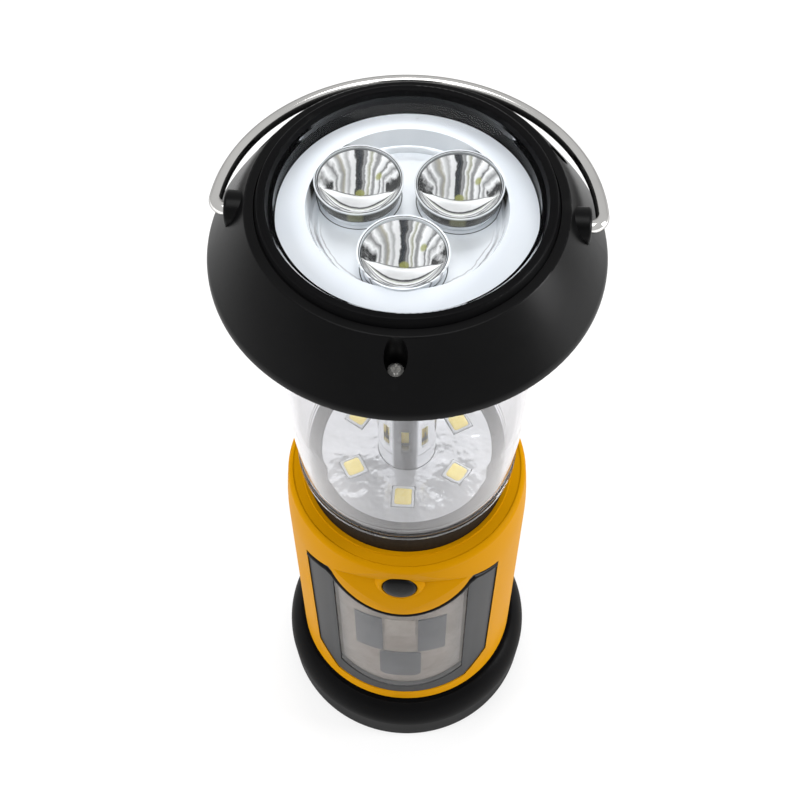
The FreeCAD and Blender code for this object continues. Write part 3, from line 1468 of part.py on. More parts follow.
def cap_inside():
    """Blocks under the dome for the ears and the screw wells, and the plate's screw bosses."""
    blocks = []
    for index, way in enumerate((-1, 1)):
        x = cap_bore + 1 if way > 0 else -ear_outer_x
        blocks.append(box("ear_block_%d" % index, ear_outer_x - cap_bore - 1, 2 * ear_radius, 20, x,
                          -ear_radius, pivot_z - ear_radius))
    low = housing_flange_top + shaft_gap
    for index, azimuth in enumerate(WELLS):
        blocks.append(radial_box("well_block_%d" % index, cap_bore + 1, cap_radius,
                                 well_radius + well_wall, low, low + 20, azimuth))
    boss_low = under_plate_z + under_plate_thick + shaft_gap
    for index, azimuth in enumerate(UNDER_SCREWS):
        blocks.append(cylinder("under_boss_%d" % index, screw_boss_radius, 20,
                               *around(cap_boss_circle, azimuth, boss_low)))
    return common("cap_blocks", fuse("cap_block_group", *blocks), cap_envelope())


def ear(index, way):
    """The round lug that one end of the bail turns in, its outer edge rounded off."""
    length = ear_outer_x - ear_inner_x
    body = turned("ear_%d" % index, [
        (0, 0), (ear_radius, 0), (ear_radius, length - ear_round), Bend(ear_round, -1),
        (ear_radius - ear_round, length), (0, length),
    ])
    return place(body, way * ear_inner_x, 0, pivot_z, Rotation(Vector(0, 1, 0), way * 90))


def top_cap():
    solid = fuse("cap_solid", cap_shell(), cap_inside(), ear(0, -1), ear(1, 1))
    tools = []
    for index, azimuth in enumerate(WELLS):
        tools.append(cylinder("well_%d" % index, well_radius, 20,
                              *around(screw_circle, azimuth, screw_seat_z)))
        tools.append(cylinder("screw_hole_%d" % index, screw_shank_radius, 20,
                              *around(screw_circle, azimuth, cap_lip_z)))
    for index, azimuth in enumerate(UNDER_SCREWS):
        tools.append(cylinder("under_pilot_%d" % index, screw_shank_radius, under_screw_length + 1,
                              *around(cap_boss_circle, azimuth, under_plate_z)))
    for index, x in enumerate((-ear_outer_x - 1, ear_inner_x)):
        tools.append(cylinder("ear_pin_way_%d" % index, bail_wire_radius + shaft_gap,
                              ear_outer_x - ear_inner_x + 1, x, 0, pivot_z, TO_RIGHT))
    return cut("top_cap", solid, *tools)


def pan_screw(name, x, y, seat, length, up=True):
    """A pan-head screw: its head on the seat, its shank going the other way."""
    rim_height = screw_head_height * (1 - screw_rim_share)
    crown_height = screw_head_height - rim_height
    crown_radius = screw_head_radius * screw_crown_share
    if up:
        rim_z, crown_z, face = seat, seat + rim_height, seat + screw_head_height
        low, high, shank_z = screw_head_radius, crown_radius, seat - length
    else:
        rim_z, crown_z, face = seat - rim_height, seat - screw_head_height, seat - screw_head_height
        low, high, shank_z = crown_radius, screw_head_radius, seat
    rim = cylinder(name + "_rim", screw_head_radius, rim_height, x, y, rim_z)
    crown = cone(name + "_crown", low, high, crown_height, x, y, crown_z)
    shank = cylinder(name + "_shank", screw_shank_radius, length, x, y, shank_z)
    slot = cross_tool(name + "_cross", x, y, face, screw_head_radius, up)
    return cut(name, fuse(name + "_solid", rim, crown, shank), slot)


def cap_screws():
    """Three screws down through the wells and three up through the under plate."""
    parts = []
    for index, azimuth in enumerate(WELLS):
        x, y, z = around(screw_circle, azimuth)
        parts.append(pan_screw("well_screw_%d" % index, x, y, screw_seat_z,
                               screw_seat_z - screw_post_z - fit_gap))
    for index, azimuth in enumerate(UNDER_SCREWS):
        x, y, z = around(cap_boss_circle, azimuth)
        parts.append(pan_screw("under_screw_%d" % index, x, y, under_plate_z, under_screw_length, False))
    return group("cap_screws", parts)


def under_plate():
    inner = lens_top_radius + housing_gap
    plate = ring("under_disc", under_plate_radius, inner, under_plate_z, under_plate_thick)
    holes = [cylinder("under_hole_%d" % index, screw_shank_radius, 8,
                      *around(cap_boss_circle, azimuth, under_plate_z - 2))
             for index, azimuth in enumerate(UNDER_SCREWS)]
    return cut("under_plate", plate, *holes)


def bail_handle():
    """A half ring of wire whose ends bend inwards into the cap's ears."""
    body = doc.addObject("PartDesign::Body", "bail_handle")
    inner = bail_radius - bail_bend
    rise = bail_bend - bail_offset
    bend_x = side(inner, rise)
    meet = bail_radius / inner
    meet_x = bend_x * meet
    meet_y = bail_offset + rise * meet
    spine = outline(body, "bail_path", "XY_Plane", [
        (-bail_leg_x, 0), (-bend_x, 0), Bend(bail_bend, 1), (-meet_x, meet_y), Bend(bail_radius, 1),
        (meet_x, meet_y), Bend(bail_bend, 1), (bend_x, 0), (bail_leg_x, 0),
    ], closed=False)
    profile = body.newObject("Sketcher::SketchObject", "bail_wire")
    profile.AttachmentSupport = (origin_plane(body, "YZ_Plane"), [""])
    profile.MapMode = "FlatFace"
    bind(profile, "AttachmentOffset.Base.z", -bail_leg_x)
    profile.addGeometry(Part.Circle(Vector(), Vector(0, 0, 1), bail_wire_radius.value), False)
    profile.addConstraint(Sketcher.Constraint("Coincident", 0, 3, -1, 1))
    bound_constraint(profile, bail_wire_radius, "Radius", 0)
    pipe = body.newObject("PartDesign::AdditivePipe", "bail_pipe")
    pipe.Profile = profile
    pipe.Spine = spine
    return place(body, 0, 0, pivot_z, Rotation(Vector(1, 0, 0), -float(bail_droop)))


arm_low_y = crank_rear_y
arm_high_y = arm_low_y + crank_arm_thick
knob_pivot_y = arm_high_y + knob_lift + knob_radius
knob_pivot_z = crank_z - crank_arm_length
idler_z = crank_z + gear_module * (drive_teeth + idler_small_teeth) / 2
rotor_reach = gear_module * (idler_large_teeth + rotor_teeth) / 2
rotor_x = rotor_reach * cosine(rotor_angle)
rotor_z = idler_z + rotor_reach * sine(rotor_angle)


def upright_bar(name, radius, low, high, x, y):
    return cylinder(name, radius, high - low, x, y, low)


def crank_bush():
    flange_high = speaker_front_y + bush_flange
    sleeve = rear_bar("bush_sleeve", bush_radius, speaker_front_y, body_radius, 0, crank_z)
    flange = rear_bar("bush_flange", bush_flange_radius, speaker_front_y, flange_high, 0, crank_z)
    bore = rear_bar("bush_bore", crank_shaft_radius + shaft_gap, 0, 60, 0, crank_z)
    return cut("crank_bush", fuse("bush_solid", sleeve, flange), bore)


def pivot_bar(name, radius, half):
    """A bar across the crank's end, centred on the knob's hinge."""
    return cylinder(name, radius, 2 * half, -half, knob_pivot_y, knob_pivot_z, TO_RIGHT)


clevis_half = clevis_half_gap + clevis_ear_thick
shaft_end = arm_high_y + shaft_into_arm


def crank_arm():
    parts = [
        rear_bar("arm_hub", crank_hub_radius, arm_low_y, arm_high_y + crank_hub_raise, 0, crank_z),
        rear_bar("arm_end", crank_arm_half, arm_low_y, arm_high_y, 0, knob_pivot_z),
        box("arm_slab", 2 * crank_arm_half, crank_arm_thick, crank_arm_length, -crank_arm_half, arm_low_y,
            knob_pivot_z),
    ]
    for index, x in enumerate((-clevis_half, clevis_half_gap)):
        parts.append(cylinder("clevis_round_%d" % index, clevis_ear_radius, clevis_ear_thick, x,
                              knob_pivot_y, knob_pivot_z, TO_RIGHT))
        parts.append(box("clevis_foot_%d" % index, clevis_ear_thick, knob_pivot_y - arm_high_y + 1,
                         2 * clevis_ear_radius, x, arm_high_y - 1, knob_pivot_z - clevis_ear_radius))
    pin_hole = pivot_bar("clevis_pin_hole", hinge_pin_radius, clevis_half + 1)
    shaft_hole = rear_bar("arm_shaft_hole", crank_shaft_radius, 0, shaft_end, 0, crank_z)
    return cut("crank_arm", fuse("arm_solid", *parts), pin_hole, shaft_hole)


def crank_shaft():
    low = gear_plate_y - shaft_front_gap
    return rear_bar("crank_shaft", crank_shaft_radius, low, shaft_end, 0, crank_z)


def knob_hinge_pin():
    return pivot_bar("knob_hinge_pin", hinge_pin_radius, clevis_half)


knob_low_z = knob_pivot_z + knob_start
knob_high_z = knob_low_z + knob_length
spindle_seat_z = knob_high_z - spindle_head_length - spindle_sink


def knob_spindle():
    """The folding post: an eye on the hinge pin, a spindle and a head inside the knob."""
    head_high = spindle_seat_z + spindle_head_length
    collar_high = knob_low_z - 2 * shaft_gap
    eye = pivot_bar("spindle_eye", spindle_eye_radius, clevis_half_gap - 2 * shaft_gap)
    post = upright_bar("spindle_post", spindle_radius, knob_pivot_z, head_high, 0, knob_pivot_y)
    collar = upright_bar("spindle_collar", spindle_head_radius, collar_high - spindle_collar_thick,
                         collar_high, 0, knob_pivot_y)
    head = upright_bar("spindle_head", spindle_head_radius, spindle_seat_z + shaft_gap, head_high, 0,
                       knob_pivot_y)
    eye_hole = pivot_bar("spindle_eye_hole", hinge_pin_radius + shaft_gap, clevis_half)
    return cut("knob_spindle", fuse("spindle_solid", eye, post, collar, head), eye_hole)


def crank_knob():
    """The grip, waisted in the middle, turning on its spindle under the spindle's head."""
    middle = (knob_low_z + knob_high_z) / 2
    swell = knob_radius - knob_waist
    half = knob_length / 2 - knob_edge
    waist_round = (half * half + swell * swell) / swell
    bore = spindle_radius + shaft_gap
    head_room = spindle_head_radius + face_gap
    body = turned("crank_knob", [
        (bore, knob_low_z), (knob_radius - knob_edge, knob_low_z), Bend(knob_edge, -1),
        (knob_radius, knob_low_z + knob_edge), Bend(waist_round, 1), (knob_waist, middle),
        Bend(waist_round, 1), (knob_radius, knob_high_z - knob_edge), Bend(knob_edge, -1),
        (knob_radius - knob_edge, knob_high_z), (head_room, knob_high_z), (head_room, spindle_seat_z),
        (bore, spindle_seat_z),
    ])
    return place(body, 0, knob_pivot_y, 0)


def involute(angle):
    return math.tan(angle) - angle


def gear_face(teeth, phase, steps=5):
    """The outline of one involute spur gear in the X-Z plane, its first tooth at the phase."""
    count = int(round(float(teeth)))
    module = float(gear_module)
    pressure = math.radians(20)
    pitch = module * count / 2
    base = pitch * math.cos(pressure)
    tip = pitch + 0.75 * module
    foot = pitch - 1.25 * module
    half = math.pi / (2 * count) - float(gear_play) / (2 * pitch)
    low = max(base, foot)
    flank = []
    for step in range(steps):
        radius = low + (tip - low) * step / (steps - 1)
        turn = involute(math.acos(min(1.0, base / radius)))
        flank.append((radius, half + involute(pressure) - turn))
    corners = []
    for index in range(count):
        centre = math.radians(phase) + 2 * math.pi * index / count
        root_angle = flank[0][1]
        corners.append((foot, centre - root_angle))
        corners.extend((radius, centre - angle) for radius, angle in flank)
        corners.extend((radius, centre + angle) for radius, angle in reversed(flank))
        corners.append((foot, centre + root_angle))
    points = [Vector(radius * math.cos(angle), 0, radius * math.sin(angle)) for radius, angle in corners]
    return Part.Face(Part.makePolygon(points + [points[0]]))


def toothed(name, teeth, phase, low_y, x, z):
    """Teeth cut to an involute, which no plain sketch or primitive gives."""
    item = doc.addObject("Part::Feature", name)
    item.Shape = gear_face(teeth, phase).extrude(Vector(0, float(gear_thick), 0))
    return place(item, x, low_y, z)


def drive_gear():
    teeth = toothed("drive_teeth_solid", drive_teeth, 90, outer_gear_y, 0, crank_z)
    hub = rear_bar("drive_hub", drive_hub_radius, outer_gear_y - gear_hub_step,
                   outer_gear_y + gear_thick + gear_hub_step, 0, crank_z)
    tools = [rear_bar("drive_bore", crank_shaft_radius, 0, 60, 0, crank_z)]
    for index, azimuth in enumerate(polar(drive_hole_count, 18)):
        tools.append(rear_bar("drive_hole_%d" % index, drive_hole_radius, 0, 60,
                              drive_hole_circle * cosine(azimuth),
                              crank_z + drive_hole_circle * sine(azimuth)))
    return cut("drive_gear", fuse("drive_solid", teeth, hub), *tools)


def idler_gear():
    small_step = 180.0 / float(idler_small_teeth)
    parts = [
        toothed("idler_small_solid", idler_small_teeth, -90 + small_step, outer_gear_y, 0, idler_z),
        toothed("idler_large_solid", idler_large_teeth, float(rotor_angle), inner_gear_y, 0, idler_z),
        rear_bar("idler_hub", idler_hub_radius, inner_gear_y - gear_hub_step, outer_gear_y + gear_thick,
                 0, idler_z),
    ]
    bore = rear_bar("idler_bore", gear_bore + shaft_gap, 0, 60, 0, idler_z)
    return cut("idler_gear", fuse("idler_solid", *parts), bore)


rotor_end_y = inner_gear_y + gear_thick + face_gap
generator_back_y = gear_plate_y - generator_length


def rotor_bar(name, radius, y_low, y_high):
    """A bar on the generator's axis."""
    return rear_bar(name, radius, y_low, y_high, rotor_x, rotor_z)


def generator_rotor():
    phase = float(rotor_angle) - 180 + 180.0 / float(rotor_teeth)
    return fuse(
        "generator_rotor",
        toothed("rotor_pinion", rotor_teeth, phase, inner_gear_y, rotor_x, rotor_z),
        rotor_bar("rotor_shaft", rotor_shaft_radius, generator_back_y + 4 * shaft_gap, rotor_end_y),
        rotor_bar("rotor_core", rotor_radius, generator_back_y + rotor_end_gap,
                  gear_plate_y - rotor_end_gap))


def generator_can():
    low, high = generator_back_y, gear_plate_y
    can = rotor_bar("can_solid", generator_radius, low, high)
    inside = rotor_bar("can_inside", generator_radius - generator_wall, low + generator_wall,
                       high - generator_wall)
    shaft_way = rotor_bar("can_shaft_way", rotor_shaft_radius + shaft_gap, low + 2 * shaft_gap, high + 1)
    return cut("generator_can", can, inside, shaft_way)


def gear_plate():
    plate = box("plate_sheet", 2 * gear_plate_half, gear_plate_thick,
                gear_plate_high_z - gear_plate_low_z, -gear_plate_half, gear_plate_y, gear_plate_low_z)
    pin = rear_bar("plate_idler_pin", gear_bore, gear_plate_y, outer_gear_y + gear_thick + gear_hub_step,
                   0, idler_z)
    tools = [
        rear_bar("plate_shaft_hole", crank_shaft_radius + shaft_gap, 0, 30, 0, crank_z),
        rotor_bar("plate_rotor_hole", rotor_shaft_radius + shaft_gap, as_size(0), as_size(30)),
    ]
    for index, (x, z) in enumerate(GEAR_POSTS):
        tools.append(rear_bar("plate_screw_hole_%d" % index, screw_shank_radius, 0, 30, x, z))
    return cut("gear_plate", fuse("plate_with_pin", plate, pin), *tools)


def gear_screws():
    """Four screws through the gear plate into the shell's posts, heads to the front."""
    parts = []
    head_y = gear_plate_y - screw_head_height
    arm = cross_arm_share * screw_head_radius
    width = cross_width_share * screw_head_radius
    deep = 1 + cross_depth_share * screw_head_radius
    for index, (x, z) in enumerate(GEAR_POSTS):
        name = "gear_screw_%d" % index
        head = rear_bar(name + "_head", screw_head_radius, head_y, gear_plate_y, x, z)
        shank = rear_bar(name + "_shank", screw_shank_radius, gear_plate_y,
                         gear_post_y + gear_screw_length, x, z)
        slot = fuse(
            name + "_cross",
            box(name + "_cross_a", 2 * arm, deep, width, x - arm, head_y - 1, z - width / 2),
            box(name + "_cross_b", width, deep, 2 * arm, x - width / 2, head_y - 1, z - arm))
        parts.append(cut(name, fuse(name + "_solid", head, shank), slot))
    return group("gear_screws", parts)


def speaker():
    low = speaker_front_y - speaker_depth
    frame = rear_bar("speaker_frame", speaker_radius, low, speaker_front_y, 0, speaker_z)
    magnet = rear_bar("speaker_magnet", speaker_magnet_radius, low - speaker_magnet_depth, low, 0,
                      speaker_z)
    dish = cone("speaker_dish", speaker_cone_radius, speaker_radius - speaker_rim,
                speaker_depth - speaker_cone_floor, 0, low + speaker_cone_floor, speaker_z, TO_REAR)
    return cut("speaker", fuse("speaker_solid", frame, magnet), dish)


def radio_knob(name, azimuth):
    """A ribbed control knob and its shaft, pointing outwards from the rear of the body."""
    low = body_radius + radio_knob_gap
    high = low + radio_knob_depth
    disc = radial_bar(name + "_disc", radio_knob_radius, low, high, azimuth, radio_knob_z)
    shaft = radial_bar(name + "_shaft", radio_shaft_radius, radio_shaft_start, low, azimuth, radio_knob_z)
    grooves = []
    circle = radio_knob_radius + fit_gap
    for index, turn in enumerate(polar(radio_knob_ribs)):
        across, up = circle * cosine(turn), circle * sine(turn)
        x = (low - 1) * cosine(azimuth) - across * sine(azimuth)
        y = (low - 1) * sine(azimuth) + across * cosine(azimuth)
        grooves.append(cylinder("%s_rib_%d" % (name, index), knob_rib_radius, radio_knob_depth + 2, x, y,
                                radio_knob_z + up, radial_turn(azimuth)))
    mark = radial_box(name + "_mark", high - knob_mark_deep, high + 1, knob_mark_half,
                      radio_knob_z + knob_mark_start, radio_knob_z + radio_knob_radius - knob_mark_edge,
                      azimuth)
    return cut(name, fuse(name + "_solid", disc, shaft), mark, *grooves)


def radio_controls():
    """The tuning capacitor and the volume control, in cans behind their knobs."""
    outer = side(inner_radius - 2 * fit_gap, radio_can_half)
    low_z, high_z = radio_knob_z - radio_can_half, radio_knob_z + radio_can_half
    parts = []
    for name, azimuth in (("tuning_can", TUNING_AZIMUTH), ("volume_can", VOLUME_AZIMUTH)):
        can = radial_box(name + "_solid", outer - radio_can_depth, outer, radio_can_half, low_z, high_z,
                         azimuth)
        bore = radial_bar(name + "_bore", radio_shaft_radius + shaft_gap,
                          radio_shaft_start - 2 * shaft_gap, body_radius, azimuth, radio_knob_z)
        parts.append(cut(name, can, bore))
    return group("radio_controls", parts)


band_rest_z = band_z - band_slot_height / 2 + door_gap
band_body_outer = inner_radius - 2.6


def band_knob():
    """The sliding grip: its flange runs behind the shell and its stem moves the switch."""
    top = band_rest_z + band_knob_height
    lap = band_flange_lap
    grip = radial_box("band_grip", inner_radius - 1, body_radius + band_raise, band_knob_half,
                      band_rest_z, top, BAND_AZIMUTH)
    flange = radial_box("band_flange", inner_radius - 2.2, inner_radius - lap, band_slot_half + lap,
                        band_rest_z - lap, top + lap, BAND_AZIMUTH)
    stem = radial_box("band_stem", band_body_outer - 1.6, inner_radius - 2, band_stem_half,
                      band_rest_z + band_stem_half, top - band_stem_half, BAND_AZIMUTH)
    return fuse("band_knob", grip, flange, stem)


def band_switch():
    half = band_can_half
    low, high = band_z - band_can_height / 2, band_z + band_can_height / 2
    can = radial_box("band_can", band_body_outer - band_can_depth, band_body_outer, half, low, high,
                     BAND_AZIMUTH)
    lug_outer = side(inner_radius - fit_gap, half)
    lugs = [radial_box("band_lug_%d" % index, band_body_outer - band_can_depth / 2, lug_outer, half, z,
                       z + band_lug, BAND_AZIMUTH)
            for index, z in enumerate((low - band_lug, high))]
    stem_room = band_stem_half - face_gap
    way = radial_box("band_way", band_body_outer - 1.9, band_body_outer + 1, band_stem_half + 0.2,
                     band_rest_z + stem_room,
                     band_rest_z + band_knob_height + band_travel - stem_room, BAND_AZIMUTH)
    return cut("band_switch", fuse("band_solid", can, *lugs), way)


def power_inlet():
    """The charging socket: a can with its flange behind the shell and a contact tongue."""
    outer = body_radius - cover_seat

    def block(name, start, end, half_width, half_height):
        return radial_box(name, start, end, half_width, jack_z - half_height, jack_z + half_height,
                          JACK_AZIMUTH)

    can = block("inlet_can", jack_inner, outer, jack_half_width, jack_half_height)
    flange = block("inlet_flange", jack_flange_inner, jack_flange_inner + jack_flange_thick,
                   jack_flange_half, jack_flange_height)
    socket = block("inlet_socket", outer - jack_socket_depth, outer + 1, jack_half_width - jack_wall,
                   jack_socket_half)
    tongue = block("inlet_tongue", outer - jack_socket_depth - jack_tongue_half, outer - jack_wall,
                   jack_half_width - 2 * jack_wall, jack_tongue_half)
    return fuse("power_inlet", cut("inlet_shell", fuse("inlet_solid", can, flange), socket), tongue)


def tangent_bar(name, radius, start, end, reach, azimuth, z):
    """A bar across an azimuth, from one sideways distance to another, at a reach from the axis."""
    x = reach * cosine(azimuth) - start * sine(azimuth)
    y = reach * sine(azimuth) + start * cosine(azimuth)
    turn = about_z(azimuth) * TO_REAR
    return cylinder(name, radius, end - start, x, y, z, turn)


def shifted_box(name, start, end, left, right, low, high, azimuth):
    """A box at an azimuth between two reaches, two sideways distances and two heights."""
    x = start * cosine(azimuth) - left * sine(azimuth)
    y = start * sine(azimuth) + left * cosine(azimuth)
    return box(name, end - start, right - left, high - low, x, y, low, about_z(azimuth))


def cover_lugs():
    """The two small lugs on the shell that hold the inlet cover's pegs."""
    parts = []
    gap = cover_barrel_half + 2 * cover_side_gap
    low, high = cover_axis_z - cover_barrel, cover_axis_z + cover_barrel
    for index, (left, right) in enumerate(((-cover_lug_half, -gap), (gap, cover_lug_half))):
        parts.append(tangent_bar("cover_lug_%d" % index, cover_barrel, left, right, cover_axis_r,
                                 JACK_AZIMUTH, cover_axis_z))
        parts.append(shifted_box("cover_lug_foot_%d" % index, inner_radius + cover_bulge, cover_axis_r,
                                 left, right, low, high, JACK_AZIMUTH))
    hole_half = cover_lug_half - cover_bulge
    holes = tangent_bar("cover_lug_hole", cover_peg + shaft_gap, -hole_half, hole_half, cover_axis_r,
                        JACK_AZIMUTH, cover_axis_z)
    return cut("cover_lug_pair", fuse("cover_lug_solid", *parts), holes)


def inlet_cover():
    """The rubber flap: a leaf in its seat, a barrel and pegs on the lugs, and a pull tab."""
    low_z = jack_z - cover_half_height
    high_z = jack_z + cover_half_height
    inner = body_radius - cover_seat + cover_side_gap
    leaf = common(
        "cover_leaf",
        radial_box("cover_plate", inner, body_radius + 3, cover_half_width, low_z, high_z, JACK_AZIMUTH),
        cylinder("cover_round", body_radius + cover_bulge, 60))
    barrel = tangent_bar("cover_barrel", cover_barrel, -cover_barrel_half, cover_barrel_half,
                         cover_axis_r, JACK_AZIMUTH, cover_axis_z)
    peg_half = cover_lug_half - cover_bulge - cover_side_gap
    peg = tangent_bar("cover_pegs", cover_peg, -peg_half, peg_half, cover_axis_r, JACK_AZIMUTH,
                      cover_axis_z)
    tab = radial_box("cover_tab", body_radius - cover_bulge, body_radius + cover_tab_out,
                     cover_tab_half, high_z - cover_tab_height, high_z, JACK_AZIMUTH)
    notch_low, notch_high = low_z - 1, cover_axis_z + cover_barrel + cover_bulge
    near = cover_barrel_half + shaft_gap
    notches = [shifted_box("cover_notch_%d" % index, inner - 1, body_radius + 4, left, right, notch_low,
                           notch_high, JACK_AZIMUTH)
               for index, (left, right) in enumerate(((-near - 3, -near), (near, near + 3)))]
    return fuse("inlet_cover", cut("cover_notched", leaf, *notches), barrel, peg, tab)


def antenna_x_bar(name, radius, low, high):
    """A bar along the resting antenna, between two distances from its pivot."""
    return cylinder(name, radius, high - low, antenna_x + low, antenna_y, antenna_z, TO_RIGHT)


middle_radius = antenna_tube_radius - antenna_tube_wall - shaft_gap
rod_radius = middle_radius - antenna_tube_wall - shaft_gap


def antenna_swivel():
    half = antenna_block / 2
    block = antenna_bar("swivel_block", antenna_block_radius, -half, half)
    socket = antenna_x_bar("swivel_socket", half, as_size(0), antenna_socket_length)
    bore = antenna_bar("swivel_bore", antenna_pin_radius + shaft_gap, -antenna_block, antenna_block)
    way = antenna_x_bar("swivel_way", antenna_tube_radius, antenna_start, antenna_socket_length + 1)
    return cut("antenna_swivel", fuse("swivel_solid", block, socket), bore, way)


def antenna_pin():
    """The screw the antenna swivels on, with a driver slot across its head."""
    low = antenna_block / 2 + cover_side_gap * 2
    high = low + antenna_head_thick
    shank = antenna_bar("antenna_shank", antenna_pin_radius, -antenna_pin_depth, high)
    head = antenna_bar("antenna_pin_head", antenna_head_radius, low, high)
    reach = high - antenna_slot_deep
    lift = antenna_slot_width / 2
    slot = box("antenna_pin_slot", 2 * antenna_head_radius + 2, antenna_slot_width, 2,
               antenna_x - antenna_head_radius - 1,
               antenna_y + reach * cosine(antenna_lean) + lift * sine(antenna_lean),
               antenna_z - reach * sine(antenna_lean) + lift * cosine(antenna_lean), antenna_turn())
    return cut("antenna_pin", fuse("antenna_pin_solid", shank, head), slot)


def antenna_tube(name, radius, low, high):
    outer = antenna_x_bar(name + "_outer", radius, low, high)
    bore = antenna_x_bar(name + "_bore", radius - antenna_tube_wall, low - 1, high + 1)
    return cut(name, outer, bore)


def antenna_tip():
    start = antenna_start + 2 * antenna_section_step + 1
    shoulder = antenna_reach + 2 * antenna_section_step
    rod = antenna_x_bar("tip_rod", rod_radius, start, shoulder + 0.5)
    knob = antenna_x_bar("tip_knob", antenna_tip_radius, shoulder, shoulder + antenna_tip_length)
    return fuse("antenna_tip", rod, knob)


def radio_board():
    rear_y = radio_board_y + radio_board_thick
    return group("radio_board", [
        box("radio_sheet", 2 * radio_board_half, radio_board_thick,
            radio_board_high_z - radio_board_low_z, -radio_board_half, radio_board_y, radio_board_low_z),
        chip("radio_chip", -7, 104, 9, 6, rear_y),
        chip("tuning_coil", 6, 102, 5, 5, rear_y),
        chip("filter_can", -17, 106, 5, 5, rear_y),
    ])


def board_clips():
    """Two grooved ribs under the shell's ceiling that hold the radio board's top edge."""
    parts = []
    lap = (clip_depth - radio_board_thick) / 2
    gap = 2 * shaft_gap
    for index, side_x in enumerate((-clip_x, clip_x)):
        x = side_x - clip_width / 2
        rib = box("clip_rib_%d" % index, clip_width, clip_depth, ceiling_z + 0.5 - clip_low_z, x,
                  radio_board_y - lap, clip_low_z)
        groove = box("clip_groove_%d" % index, clip_width + 2, radio_board_thick + 2 * gap, 10, x - 1,
                     radio_board_y - gap, radio_board_high_z + gap - 10)
        parts.append(cut("clip_%d" % index, rib, groove))
    return parts


def ferrite_antenna():
    """The long-wave aerial: a ferrite rod with its coil, in two holders on the radio board."""
    def rod(name, radius, length, middle):
        return cylinder(name, radius, length, middle - length / 2, ferrite_y, ferrite_z, TO_RIGHT)

    parts = [
        rod("ferrite_rod", ferrite_radius, ferrite_length, as_size(0)),
        rod("ferrite_coil", coil_radius, coil_length, as_size(0)),
    ]
    for index, x in enumerate((-holder_x, holder_x)):
        parts.append(rod("holder_round_%d" % index, ferrite_radius + holder_wall, holder_width, x))
        parts.append(box("holder_foot_%d" % index, holder_width, radio_board_y - ferrite_y, holder_foot,
                         x - holder_width / 2, ferrite_y, ferrite_z - holder_foot / 2))
    return fuse("ferrite_antenna", *parts)


node("base_ring", base_ring())
node("base_plate", base_plate())
node("battery_door", battery_door())
node("base_screws", base_screws())
node("body_shell", body_shell())
node("front_bezel", front_bezel())
node("front_window", front_window())
node("display_panel", display_panel())
node("display_tiles", group("display_tiles", [indicator_tiles(), display_screen()]))
node("dial_plate", dial_plate())
node("power_button", power_button())
node("main_board", group("main_board_set", [main_board(), button_switch()]))
node("battery_tray", battery_tray())
node("battery_cells", battery_cells())
node("battery_contacts", battery_contacts())
node("lens_collar", lens_collar())
node("floor_board", floor_board())
node("floor_reflector", floor_reflector())
node("floor_leds", floor_leds())
node("lantern_lens", lantern_lens())
node("reflector_column", reflector_column())
node("column_board", column_board())
node("column_leds", column_leds())
node("lamp_housing", lamp_housing())
node("top_cap", top_cap())
node("cap_screws", cap_screws())
node("cap_under_plate", under_plate())
node("bezel_ring", bezel_ring())
node("spot_lens", spot_lens())
node("spot_reflector", spot_reflector())
node("spot_board", spot_board())
node("spot_leds", spot_leds())
node("bail_handle", bail_handle())
node("crank_bush", crank_bush())
node("crank_arm", crank_arm())
node("crank_shaft", crank_shaft())
node("knob_hinge_pin", knob_hinge_pin())
node("knob_spindle", knob_spindle())
node("crank_knob", crank_knob())
node("drive_gear", drive_gear())
node("idler_gear", idler_gear())
node("generator_rotor", generator_rotor())
node("gear_plate", gear_plate())
node("gear_screws", gear_screws())
node("generator_can", generator_can())
node("speaker", speaker())
node("tuning_knob", radio_knob("tuning_knob", TUNING_AZIMUTH))
node("volume_knob", radio_knob("volume_knob", VOLUME_AZIMUTH))
node("radio_controls", radio_controls())
node("band_knob", band_knob())
node("band_switch", band_switch())
node("power_inlet", power_inlet())
node("inlet_cover", inlet_cover())
node("antenna_swivel", antenna_swivel())
node("antenna_pin", antenna_pin())
node("antenna_base", antenna_tube("antenna_base", antenna_tube_radius, antenna_start, antenna_reach))
node("antenna_middle", antenna_tube("antenna_middle", middle_radius, antenna_start + 1,
                                    antenna_reach + antenna_section_step))
node("antenna_tip", antenna_tip())
node("radio_board", radio_board())
node("ferrite_antenna", ferrite_antenna())

doc.recompute()

faults = []
for item in doc.Objects:
    if "Invalid" in item.State or "Error" in item.State:
        faults.append("%s %s" % (item.Name, item.State))
for label, item in made.items():
    shape = item.Shape
    if shape.isNull() or not shape.isValid() or not shape.Solids:
        faults.append("%s has no sound solid" % label)
        continue
    bound = shape.BoundBox
    print("%-18s %2d solids %10.1f mm3  x %6.1f %6.1f  y %6.1f %6.1f  z %6.1f %6.1f" % (
        label, len(shape.Solids), shape.Volume, bound.XMin, bound.XMax, bound.YMin, bound.YMax,
        bound.ZMin, bound.ZMax))
if faults:
    raise RuntimeError("; ".join(faults))

os.makedirs("parts", exist_ok=True)
for label, item in made.items():
    item.Shape.exportStep("parts/%s.step" % label)
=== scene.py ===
import json
import math

import bmesh
import bpy
from mathutils import Matrix, Vector


